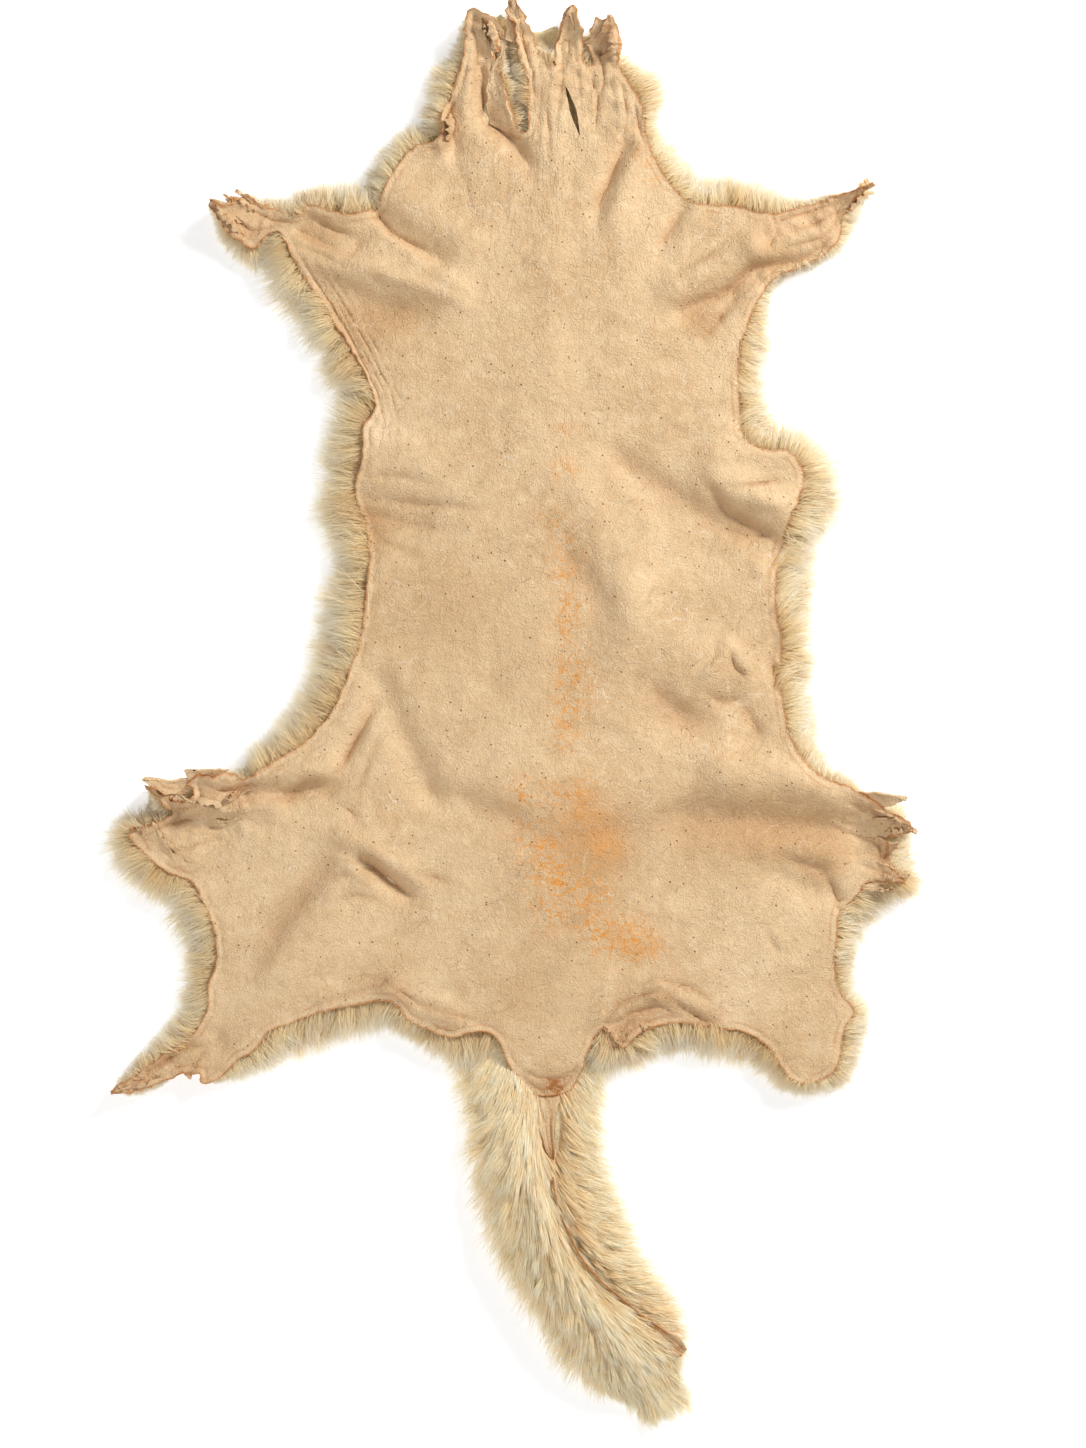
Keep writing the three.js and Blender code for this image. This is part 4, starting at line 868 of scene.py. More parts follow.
def tail_ribbon():
    """The points and faces of the tail's skin."""
    rows = smooth_rows(TAIL_SKIN, RIBBON_ROWS)
    centre = rows[:, :2]
    left = to_left(unit(np.gradient(centre, axis=0)))
    low = np.maximum(rows[:, 4], tail_height(centre) - rows[:, 3])
    across = np.linspace(-1, 1, RIBBON_ACROSS)
    knots = np.arange(0, RIBBON_ROWS, UNEVEN_EVERY)
    uneven = np.interp(np.arange(RIBBON_ROWS), knots, rng.normal(size=len(knots)))
    half = rows[:, 2] / 2 * (1 + RIBBON_UNEVEN * uneven)
    past_top = np.clip((FURROW_TOP - centre[:, 1]) / 8, 0, 1)
    before_end = np.clip((centre[:, 1] - FURROW_END) / 6, 0, 1)
    in_furrow = past_top * before_end
    half *= 1 - FURROW_HIDES * in_furrow
    xy = centre[:, None] + left[:, None] * (half[:, None] * across[None])[..., None]
    cupped = SIDES_CURL * np.abs(across)[None] ** 2 * np.minimum(1, half / 4)[:, None]
    pucker = PUCKER * np.sin(across[None] * 9 + 0.6 * np.sin(np.arange(len(rows)) / 5)[:, None])
    z = low[:, None] + cupped + pucker * np.minimum(1, half / 6)[:, None]
    faces = [(a, d, c, b) for a, b, c, d in grid_faces(*z.shape)]  # its points run the other way
    return np.dstack([xy, z]).reshape(-1, 3), faces


print("tail skin", len(TAIL_SKIN), "rows")

# %% [markdown]
# All of it becomes one mesh. A Solidify modifier gives it the skin's thickness, upwards from the
# underside, and is applied, so that the exported mesh has it too.

# %% The hide
def make_piece(name, vertices, faces):
    """An object from points in millimetres and faces, added to the scene and selected alone."""
    mesh = bpy.data.meshes.new(name)
    mesh.from_pydata((np.asarray(vertices) * MM).tolist(), [], [tuple(face) for face in faces])
    mesh.validate()
    piece = bpy.data.objects.new(name, mesh)
    bpy.context.collection.objects.link(piece)
    bpy.ops.object.select_all(action="DESELECT")
    piece.select_set(True)
    bpy.context.view_layer.objects.active = piece
    return piece


def modify(piece, kind, **settings):
    """A modifier, set and applied to the selected piece."""
    modifier = piece.modifiers.new(kind.lower(), kind)
    for key, value in settings.items():
        setattr(modifier, key, value)
    bpy.ops.object.modifier_apply(modifier=modifier.name)


SMOOTH_BELOW = 50  # degrees between faces
hide_points = [np.column_stack([flat, heights])]
hide_faces = triangles.tolist()
additions = [*(curl(row) for row in CURLS), *(tongue(row) for row in TONGUES), tail_ribbon()]
for part_points, part_faces in additions:
    shift = sum(len(each) for each in hide_points)
    hide_faces += [tuple(v + shift for v in face) for face in part_faces]
    hide_points.append(part_points)
hide = make_piece("skin_sheet", np.vstack(hide_points), hide_faces)
modify(hide, "SOLIDIFY", thickness=SKIN_THICKNESS * MM, offset=1, use_even_offset=False)
bpy.ops.object.shade_smooth_by_angle(angle=math.radians(SMOOTH_BELOW))
print("hide has", len(hide.data.polygons), "faces")

# %% [markdown]
# The tail curves, so x and y are awkward there. A place in its fur is told by how far down the tail
# it is, by the angle round its back and by its depth. The slit lies in a furrow, deepest at the root.

# %% Places on the tail
FURROW_DEPTH, ROOT_DEPTH = 0.26, 0.26  # shares of the fur's height: all along, and added at its root
FURROW_HALF, ROOT_HALF = 5.5, 5.5  # mm, half its width, and what is added at the root
ROOT_Y, ROOT_FADE = -318, 14  # mm
SKIN_ROOM = 2.2  # mm that the tail's fur keeps below the underside of the skin
LEAST_HEIGHT, LEAST_PRESSED = 0.3, 0.25  # mm over the floor
UNDER_SKIN = (-272, 75)  # mm: the tail can be under the skin from this y up, and this far to each side
tail_rows = smooth_rows(TAIL, 400)
tail_run = np.concatenate([[0], np.cumsum(np.linalg.norm(np.diff(tail_rows[:, :2], axis=0), axis=1))])
TAIL_LENGTH = tail_run[-1]
furrow = smooth_rows(TAIL_SKIN, 200)[::4, :2]
tail_ahead = unit(np.gradient(tail_rows[:, :2], axis=0))


def furrow_gap(xy):
    """How far each point is from the furrow."""
    return np.sqrt(((xy[..., None, :] - furrow) ** 2).sum(axis=-1)).min(axis=-1)


def on_tail(run, angle, depth):
    """Points in the tail's fur: millimetres down it, angle from its right side, and depth."""
    at = np.clip(run, 0, TAIL_LENGTH)
    row, ahead = sampled(at, tail_run, tail_rows), sampled(at, tail_run, tail_ahead)
    past = (run - at)[..., None]
    across = np.cos(angle) * row[..., 2] * depth
    xy = row[..., :2] + to_left(ahead) * across[..., None] + ahead * past
    root = np.clip((xy[..., 1] - ROOT_Y) / ROOT_FADE, 0, 1)
    half = FURROW_HALF + ROOT_HALF * root
    sunk = 1 - (FURROW_DEPTH + ROOT_DEPTH * root) * np.exp(-((furrow_gap(xy) / half) ** 2))
    z = np.sin(angle) * row[..., 3] * depth * sunk
    return np.concatenate([xy, np.maximum(LEAST_HEIGHT, z)[..., None]], axis=-1)


def pressed(places):
    """The heights of the places, with those inside the cut edge pressed under the skin."""
    xy, z = places[..., :2].reshape(-1, 2), places[..., 2].reshape(-1).copy()
    close = np.flatnonzero((xy[:, 1] > UNDER_SKIN[0]) & (np.abs(xy[:, 0]) < UNDER_SKIN[1]))
    under = close[inside(xy[close], edge[:, :2])]
    z[under] = np.minimum(z[under], underside(xy[under]) - SKIN_ROOM)
    return np.maximum(LEAST_PRESSED, z).reshape(places.shape[:-1])


print("tail is", round(TAIL_LENGTH), "mm long in its fur")

# %% [markdown]
# Under the skin is the fur, pressed flat by it. Only its rim shows from above, but the whole pile
# is there, so the skin rests on something from every side. The model's solid is copied, its loose
# triangles are merged, and a voxel remesh melts its locks into one soft felted body.

# %% Felted body of the fur
BODY_VOXEL, TAIL_VOXEL = 4.0, 3.0  # mm
BODY_SQUASH = 0.70  # of its height, so that hair and skin lie outside it
FELT_REACH = 0.6  # past the cut edge, as a share of the solid's
MERGE_WITHIN = 0.00002  # m
MELT_SMOOTHINGS = 8


def on_whole_mesh(operator, **settings):
    """Runs an operator of edit mode on all of the selected piece."""
    bpy.ops.object.mode_set(mode="EDIT")
    bpy.ops.mesh.select_all(action="SELECT")
    operator(**settings)
    bpy.ops.object.mode_set(mode="OBJECT")


def melt(piece, voxel):
    """The selected piece is remeshed and smoothed."""
    on_whole_mesh(bpy.ops.mesh.remove_doubles, threshold=MERGE_WITHIN)
    modify(piece, "REMESH", mode="VOXEL", voxel_size=voxel * MM)
    modify(piece, "SMOOTH", iterations=MELT_SMOOTHINGS)
    bpy.ops.object.shade_smooth()
    print(piece.name, len(piece.data.polygons), "faces")


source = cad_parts["body_fur"].data
source_points = [np.array(v.co) / MM for v in source.vertices]
body_felt = make_piece("fur_under_skin", source_points, [p.vertices[:] for p in source.polygons])
melt(body_felt, BODY_VOXEL)
for vertex in body_felt.data.vertices:
    vertex.co.z *= BODY_SQUASH
    x, y = vertex.co.x / MM, vertex.co.y / MM
    near, i, _ = edge_tree.find((x, y, 0))
    if (x - near.x) * edge_out[i, 0] + (y - near.y) * edge_out[i, 1] > 0:
        vertex.co.x = (near.x + (x - near.x) * FELT_REACH) * MM
        vertex.co.y = (near.y + (y - near.y) * FELT_REACH) * MM

# %% [markdown]
# The tail has such a felted core too. It is a half round swept down the tail and closed by a flat
# belly, a little inside the ends of the hair, so that no light shines through between the hairs.

# %% Core of the tail
CORE_STEPS, CORE_ROUND, CORE_DEPTH = 60, 28, 0.84
core_run, core_angle = np.linspace(0, TAIL_LENGTH + 2, CORE_STEPS), np.linspace(0, np.pi, CORE_ROUND)
core_run, core_angle = np.meshgrid(core_run, core_angle, indexing="ij")
core_top = on_tail(core_run, core_angle, np.full((CORE_STEPS, CORE_ROUND), CORE_DEPTH)).reshape(-1, 3)
core_top[:, 2] = pressed(core_top)
ring = np.arange(CORE_STEPS * CORE_ROUND).reshape(CORE_STEPS, CORE_ROUND)
core_faces = grid_faces(CORE_STEPS, CORE_ROUND)
core_faces += [(ring[i, 0], ring[i + 1, 0], ring[i + 1, -1], ring[i, -1]) for i in range(CORE_STEPS - 1)]
core_faces += [ring[0, ::-1].tolist(), ring[-1].tolist()]
tail_felt = make_piece("tail_core", core_top, core_faces)
on_whole_mesh(bpy.ops.mesh.normals_make_consistent, inside=False)
melt(tail_felt, TAIL_VOXEL)

# %% [markdown]
# The hair itself. Blender's own hair isn't a mesh, so it would be missing from the exported part.
# Each hair here is a narrow ribbon of three lengths that tapers to its tip. Real fur isn't even: it
# stands in locks, whose hairs lean together towards one point. So each hair starts on a way of its
# own and is drawn towards the middle of its lock, the more the nearer it is to its tip.

# %% Ribbons
LENGTHS = 3
HAIR_AT = np.linspace(0, 1, LENGTHS + 1)
MOST_ROLL = 0.6  # radians
TAPER = 0.6  # power
MAP_WIDTH = 0.01  # of a ribbon on its flat map
DRAW_POWER = 1.3  # how late along a hair the pull of its lock sets in


def hair_mesh(name, paths, widths, tones):
    """One joined mesh of tapering ribbons. Paths are hairs x points x 3, in millimetres."""
    count = len(paths)
    along = np.gradient(paths, axis=1)
    along /= np.linalg.norm(along, axis=2)[..., None] + 1e-9
    level = np.cross(along, (0, 0, 1.0))
    level /= np.linalg.norm(level, axis=2)[..., None] + 1e-9
    roll = rng.uniform(-MOST_ROLL, MOST_ROLL, count)[:, None, None]
    side = level * np.cos(roll) + np.cross(along, level) * np.sin(roll)
    wide = widths[:, None, None] / 2 * (1 - HAIR_AT[None, :, None]) ** TAPER
    left, right = paths - side * wide, paths + side * wide
    pairs = np.stack([left[:, :-1], right[:, :-1]], axis=2).reshape(count, 2 * LENGTHS, 3)
    points = np.concatenate([pairs, paths[:, -1:]], axis=1)
    each = 2 * LENGTHS + 1
    quads = [(2 * i, 2 * i + 1, 2 * i + 3, 2 * i + 2) for i in range(LENGTHS - 1)]
    loops = np.array([v for quad in quads for v in quad] + [each - 3, each - 2, each - 1])
    sizes = np.array([4] * (LENGTHS - 1) + [3])
    starts = np.concatenate([[0], np.cumsum(sizes)[:-1]])
    mesh = bpy.data.meshes.new(name)
    mesh.vertices.add(count * each)
    mesh.vertices.foreach_set("co", (points * MM).astype(np.float32).ravel())
    mesh.loops.add(count * len(loops))
    shift = np.arange(count)[:, None]
    mesh.loops.foreach_set("vertex_index", (shift * each + loops).astype(np.int32).ravel())
    mesh.polygons.add(count * len(sizes))
    mesh.polygons.foreach_set("loop_start", (shift * len(loops) + starts).astype(np.int32).ravel())
    mesh.polygons.foreach_set("use_smooth", np.ones(count * len(sizes), bool))
    across = np.concatenate([np.tile([-0.5, 0.5], LENGTHS), [0.0]])[None] * MAP_WIDTH
    u = np.clip(tones, MAP_WIDTH, 1 - MAP_WIDTH)[:, None] + across
    v = np.concatenate([np.repeat(HAIR_AT[:-1], 2), [1.0]])[None] * np.ones((count, 1))
    sheet_uv = np.stack([u[:, loops], v[:, loops]], axis=2)
    layer = mesh.uv_layers.new(name="OFBake")
    layer.data.foreach_set("uv", sheet_uv.astype(np.float32).ravel())
    mesh.update(calc_edges=True)
    mesh.validate()
    piece = bpy.data.objects.new(name, mesh)
    bpy.context.collection.objects.link(piece)
    print(name, count, "hairs")
    return piece


def drawn_together(paths, lock_paths, pull):
    """Hairs drawn towards the middle of their lock."""
    share = pull[:, None, None] * HAIR_AT[None, :, None] ** DRAW_POWER
    return paths * (1 - share) + lock_paths * share


print("a hair has", 2 * LENGTHS + 1, "points and", 2 * LENGTHS - 1, "triangles")

# %% [markdown]
# Round the body the hair comes out from under the cut edge. Its way out follows the edge, turned
# a little by how that part of the coat grows: back along the legs, and down at the groin.

# %% Fur round the body
SWEEPS = [
    # x, y, radius, and the sweep to the right and towards the head
    (-128, 150, 60, -0.05, 0.18), (-128, 20, 60, -0.1, 0.0), (-130, 240, 40, -0.2, 0.35),
    (-170, 200, 30, -0.35, -0.45), (-225, -95, 26, -0.5, 0.35), (-225, -140, 30, -0.5, -0.45),
    (-205, -195, 45, -0.3, -0.5), (-120, -235, 55, -0.3, -0.2), (62, 290, 40, 0.35, 0.25),
    (92, 245, 45, 0.35, 0.1), (130, 180, 32, 0.25, -0.35), (140, 0, 80, 0.1, 0.25),
    (140, 85, 30, 0.3, 0.0), (190, -160, 34, 0.9, 0.3), (172, -215, 42, 0.3, -0.3),
    (85, -240, 45, 0.1, -0.25), (-45, -235, 20, -0.2, -0.7), (40, -240, 18, 0.35, -0.7),
    (-70, 275, 40, -0.3, 0.25), (-100, 245, 25, -0.35, 0.3),
]
RIM_HAIRS_A_MM = 36
LOCK_EVERY, LOCK_LAYERS = 3.4, 4
HAIR_WIDTH = 0.40  # mm at the root
BARE_WEIGHT, BARE_REACH = 0.3, -0.5  # where no fur shows past the edge it hangs down under it
FURRY_FROM, LEAST_REACH = 2.0, 2.5  # mm of fur past the edge: from here it counts, and what it has then
INSET, DEEP_INSET = 1.5, 3.5  # mm from the edge to the roots, and what the furthest in adds
ROOT_ROOM, HIGHEST_ROOT = 0.8, 15  # mm below the underside of the skin, and over the floor
FLOOR_ROOM = 0.25  # mm
LOCK_TURNS, LOCK_LONGS, LOCK_TONES = (0.26, 0.12), (0.12, 0.07), (0.10, 0.13)  # drift and spread
LOCK_ARCH, ARCH_DRIFT = 3.0, 1.2  # mm
STRAYS, MOST_PULL = 0.2, 0.72  # share of hairs outside the locks, and the strongest pull of a lock
WAVE = 0.6  # mm
LEAST_WEIGHT, WEIGHT_REACH = 0.45, 26  # how thick the fur stands: the least, and mm of reach that add 1
DEPTH_POWER = 0.8  # more of the hairs are near the top
LOCK_JITTER, HAIR_SHIFT, LAYER_SHIFT = 0.35, 0.45, 0.33  # in locks
DRIFT_EVERY = 3.4  # locks
MEAN_LONG, LEAST_LONG, MOST_LONG = 0.95, 0.6, 1.3  # of a lock, as shares of the fur's reach
LOWEST_START, START_RANGE, LEAST_END = 0.10, 0.86, 0.6  # shares of the root's height, and mm for a tip
HIGH_FUR = [(-21, 282, 15, 1.0), (-22, 302, 15, 1.0), (2, 318, 9, 0.8), (18, 318, 8, 0.8),
            (-212, -104, 11, 1.0), (182, -150, 14, 0.7)]  # it fills the gaps


def way_out(xy, normal):
    """The flat way that the hair grows at points near the edge."""
    way = normal.copy()
    for x, y, radius, right, up in SWEEPS:
        way += spot(xy, x, y, radius)[:, None] * np.array([right, up])
    return unit(way)


def soft_normals(line, reach):
    """Outward directions smoothed along the edge."""
    flat_out = outward(line)
    steps = max(1, int(reach / EDGE_STEP))
    padded = np.vstack([flat_out[-steps:], flat_out, flat_out[:steps]])
    kernel = np.hanning(2 * steps + 3)[1:-1]
    kernel /= kernel.sum()
    soft = np.stack([np.convolve(padded[:, k], kernel, "valid") for k in range(2)], axis=1)
    return soft / (np.linalg.norm(soft, axis=1)[:, None] + 1e-9)


def turned_by(way, angle):
    """Flat directions turned by an angle each."""
    c, s = np.cos(angle), np.sin(angle)
    return np.stack([way[:, 0] * c - way[:, 1] * s, way[:, 0] * s + way[:, 1] * c], axis=1)


def rim_paths(at, depth, length, way, arch, tip_share):
    """Hairs that go out from under the edge, a little up, and down towards the floor.

    Depth is 0 for a hair that starts low and close to the edge, and 1 for the highest, furthest in.
    """
    base = np.minimum(underside(edge[at, :2]) - ROOT_ROOM, HIGHEST_ROOT)
    inset = INSET + DEEP_INSET * depth
    root = edge[at, :2] - soft_out[at] * inset[:, None]
    start = base * (LOWEST_START + START_RANGE * depth)
    t = HAIR_AT[None, :]
    xy = root[:, None] + way[:, None] * ((length + inset)[:, None] * t)[..., None]
    end = np.maximum(LEAST_END, start * tip_share)
    z = start[:, None] * (1 - t**2.0) + end[:, None] * t**2.0 + arch[:, None] * np.sin(np.pi * t**1.1)
    return np.dstack([xy, np.maximum(FLOOR_ROOM, z)])


def along_edge(count, knots, size):
    """Smooth unevenness at evenly spaced places round the edge, coarse and fine together."""
    return wobble(count, knots, size) + wobble(count, knots * 3, size * 0.6)


soft_out = soft_normals(edge, 11)
furry = edge[:, 2] > FURRY_FROM
weight = np.where(furry, LEAST_WEIGHT + edge[:, 2] / WEIGHT_REACH, BARE_WEIGHT)
count = int(RIM_HAIRS_A_MM * EDGE_STEP * weight.sum())
at = rng.choice(len(edge), count, p=weight / weight.sum())
depth = rng.uniform(0, 1, count) ** DEPTH_POWER
locks_along = int(len(edge) * EDGE_STEP / LOCK_EVERY)
total_locks = LOCK_LAYERS * locks_along
lock_at = np.arange(locks_along) + rng.uniform(-LOCK_JITTER, LOCK_JITTER, locks_along)
lock_at = (lock_at / locks_along * len(edge)).astype(int) % len(edge)
layer = np.minimum((depth * LOCK_LAYERS).astype(int), LOCK_LAYERS - 1)
shift = rng.normal(0, HAIR_SHIFT, count) + layer * LAYER_SHIFT
lock = (np.round(at / len(edge) * locks_along + shift).astype(int)) % locks_along
key = layer * locks_along + lock
print(total_locks, "locks in", LOCK_LAYERS, "layers")


def drifting(size):
    """A value for each lock, which changes slowly along the edge."""
    knots = int(locks_along / DRIFT_EVERY)
    return np.concatenate([along_edge(locks_along, knots, size) for _ in range(LOCK_LAYERS)])


lock_turn = drifting(LOCK_TURNS[0]) + rng.normal(0, LOCK_TURNS[1], total_locks)
lock_long = MEAN_LONG + drifting(LOCK_LONGS[0]) + rng.normal(0, LOCK_LONGS[1], total_locks)
lock_long = np.clip(lock_long, LEAST_LONG, MOST_LONG)
lock_tone = drifting(LOCK_TONES[0]) + rng.normal(0, LOCK_TONES[1], total_locks)
lock_arch = drifting(ARCH_DRIFT) + LOCK_ARCH

# %% [markdown]
# With its lock known, each hair gets its way, its length and its tone, and the lock gets a middle
# hair of its own. Where the edge shows no fur, short hairs hang down under it, out of sight from
# above, so that no gap opens under the skin when it is seen from the side.

# %% Hairs of the rim
LAYER_LONG, LAYER_LOSS = 1.10, 0.26  # shares of the reach: the lowest hairs, and what the highest lack
OWN_LONG, OWN_TURN = (0.74, 1.12), 0.15  # a hair's share of its lock's length, and radians off its way
STRAY_LONG, STRAY_TURN = 0.14, 1.6  # shares that a stray hair adds to both
TIP_HIGH, TIP_BY_DEPTH = (0.15, 0.55), 0.25  # a tip's height, as a share of its root's
OWN_ARCH = (-0.6, 1.4)  # mm
OWN_TONE, TONE_BY_DEPTH, GAP_SHADE = 0.14, 0.24, 0.35  # spread, and what depth and a gap change
HAIR_PIECES = 3
way = way_out(edge[at, :2], soft_out[at])
reach = np.where(furry, np.maximum(LEAST_REACH, edge[:, 2]), BARE_REACH)
layer_share = LAYER_LONG - LAYER_LOSS * depth
stray = rng.uniform(0, 1, count) < STRAYS
own_length = reach[at] * layer_share * lock_long[key] * rng.uniform(*OWN_LONG, count)
own_length *= 1 + STRAY_LONG * stray
own_turn = lock_turn[key] + rng.normal(0, OWN_TURN, count) * (1 + STRAY_TURN * stray)
tip_share = rng.uniform(*TIP_HIGH, count) + TIP_BY_DEPTH * depth
tip_share = np.maximum(tip_share, 0.95 * np.minimum(1, 1.6 * spots(edge[at, :2], HIGH_FUR)))
own = rim_paths(at, depth, own_length, turned_by(way, own_turn),
                lock_arch[key] * (0.3 + depth) + rng.uniform(*OWN_ARCH, count), tip_share)
middle = lock_at[lock]
middle_way = way_out(edge[middle, :2], soft_out[middle])
middle_length = reach[middle] * layer_share * lock_long[key]
middle_path = rim_paths(middle, depth, middle_length, turned_by(middle_way, lock_turn[key]),
                        lock_arch[key] * (0.3 + depth), tip_share)
apart = np.linalg.norm(edge[at, :2] - edge[middle, :2], axis=1)
pull = np.where((apart < 3 * LOCK_EVERY) & ~stray & furry[at], rng.uniform(0.15, MOST_PULL, count), 0)
paths = drawn_together(own, middle_path, pull)
wave = WAVE * np.sin(2 * np.pi * (HAIR_AT[None] * 1.2 + rng.uniform(0, 1, (count, 1)))) * HAIR_AT[None]
paths[..., :2] += turned_by(way, np.full(count, np.pi / 2))[:, None] * wave[..., None]
tones = 0.5 + lock_tone[key] + rng.normal(0, OWN_TONE, count) + TONE_BY_DEPTH * (depth - 0.5)
tones -= GAP_SHADE * np.minimum(1, spots(edge[at, :2], HIGH_FUR))
widths = HAIR_WIDTH * rng.uniform(0.65, 1.2, count) * (1.7 - 0.9 * depth)
order = np.argsort(at, kind="stable")
coat = []
for i, chosen in enumerate(np.array_split(order, HAIR_PIECES)):
    coat.append(hair_mesh(f"rim_hair_{i + 1}", paths[chosen], widths[chosen], tones[chosen]))

# %% [markdown]
# The tail is full and round. Its hair grows down the tail and leans out to both sides, parted by
# the furrow of the slit, and it opens into a fan at the end. Places on it are told by how far
# down the tail they are, and by the angle round its back.

# %% Fur of the tail
TAIL_HAIRS, TAIL_LOCKS = 52000, 2400
HAIR_LONG, TAIL_HAIR_WIDTH = 18, 0.33  # mm
ROOT_DEEP, LOCK_DEEP, LAST_DEEP = 0.78, 0.85, 1.02  # shares of the fur's depth
FAN_FROM = 0.78  # of the tail's length
LOOSE, TAIL_PULL = 0.18, 0.6  # share of hairs outside the locks, and the strongest pull of a lock
BARE_SPOT = (-4, -280, 6, 18)  # x, y and half sizes of the bare skin at the tail's root
FURROW_BARE, FURROW_SHADE = 1.0, 7  # mm from the furrow without roots, and where hair is darker
FURROW_DARK = 0.35  # of the range of tones
TAIL_PIECES = 2

lock_run = rng.uniform(2, TAIL_LENGTH + 4, TAIL_LOCKS)
lock_angle = rng.uniform(0.02, np.pi - 0.02, TAIL_LOCKS)


def tail_path(run, angle, length, lean, lift):
    """A hair that leaves the tail's core, arches over its back and lies down towards the tip."""
    sideways = np.sign(np.cos(angle)) * np.abs(np.cos(angle)) ** 0.8
    fan = np.clip((run / TAIL_LENGTH - FAN_FROM) / (1 - FAN_FROM), 0, 1)
    turn = lean * sideways * (1 - 0.45 * fan)
    ahead = length * np.cos(turn)
    out = length * np.sin(turn)
    start = on_tail(run, angle, np.full(len(run), ROOT_DEEP))
    middle = on_tail(run + ahead * 0.42, angle, 0.97 + lift)
    end = on_tail(run + ahead, angle, LAST_DEEP + lift * 0.8)
    left = to_left(sampled(np.clip(run, 0, TAIL_LENGTH), tail_run, tail_ahead))
    middle[:, :2] += left * (out * 0.3)[:, None]
    end[:, :2] += left * (out * 0.85)[:, None]
    end[:, 2] *= 1 - 0.5 * np.abs(sideways)
    t = HAIR_AT[None, :, None]
    return start[:, None] * (1 - t) ** 2 + middle[:, None] * 2 * t * (1 - t) + end[:, None] * t**2


run = rng.uniform(-4, TAIL_LENGTH + 6, TAIL_HAIRS)
angle = np.arccos(rng.uniform(-1, 1, TAIL_HAIRS))
hair_spot = on_tail(run, angle, np.full(TAIL_HAIRS, LOCK_DEEP))
lock_spot = on_tail(lock_run, lock_angle, np.full(TAIL_LOCKS, LOCK_DEEP))
lock_tree = nearest_of(lock_spot)
lock = np.array([lock_tree.find(place)[1] for place in hair_spot])
lock_length = HAIR_LONG * rng.uniform(0.75, 1.2, TAIL_LOCKS)
lock_lean = rng.normal(0.6, 0.30, TAIL_LOCKS)
lock_lift = rng.uniform(-0.05, 0.12, TAIL_LOCKS)
lock_tone = rng.normal(0, 0.13, TAIL_LOCKS)
own = tail_path(run, angle, lock_length[lock] * rng.uniform(0.65, 1.1, TAIL_HAIRS),
                lock_lean[lock] + rng.normal(0, 0.2, TAIL_HAIRS),
                lock_lift[lock] + rng.normal(0, 0.03, TAIL_HAIRS))
together = tail_path(lock_run[lock], lock_angle[lock], lock_length[lock], lock_lean[lock], lock_lift[lock])
loose = rng.uniform(0, 1, TAIL_HAIRS) < LOOSE
paths = drawn_together(own, together, np.where(loose, 0, rng.uniform(0.1, TAIL_PULL, TAIL_HAIRS)))
root_gap = furrow_gap(paths[:, 0, :2])
bare_x, bare_y, half_x, half_y = BARE_SPOT
bare = ((paths[:, 0, 0] - bare_x) / half_x) ** 2 + ((paths[:, 0, 1] - bare_y) / half_y) ** 2 < 1
clear = (root_gap > FURROW_BARE) & ~bare
paths, lock, root_gap = paths[clear], lock[clear], root_gap[clear]
paths[..., 2] = pressed(paths)
tones = 0.5 + lock_tone[lock] + rng.normal(0, 0.12, len(paths))
tones -= FURROW_DARK * np.exp(-((root_gap / FURROW_SHADE) ** 2))
widths = TAIL_HAIR_WIDTH * rng.uniform(0.7, 1.25, len(paths))
tail_coat = []
for i, chosen in enumerate(np.array_split(np.argsort(-paths[:, 0, 1], kind="stable"), TAIL_PIECES)):
    tail_coat.append(hair_mesh(f"tail_hair_{i + 1}", paths[chosen], widths[chosen], tones[chosen]))

# %% [markdown]
# Now the finishes. Colours are named as the eye reads them, from 0 to 255, and turned into the
# linear numbers that a shader wants. A small helper adds a node and joins it up, so that each
# material below reads as a list of layers.

# %% Helpers for materials
def paint(*seen):
    """A colour as the eye reads it, as linear numbers."""
    return (*(((each / 255 + 0.055) / 1.055) ** 2.4 for each in seen), 1)


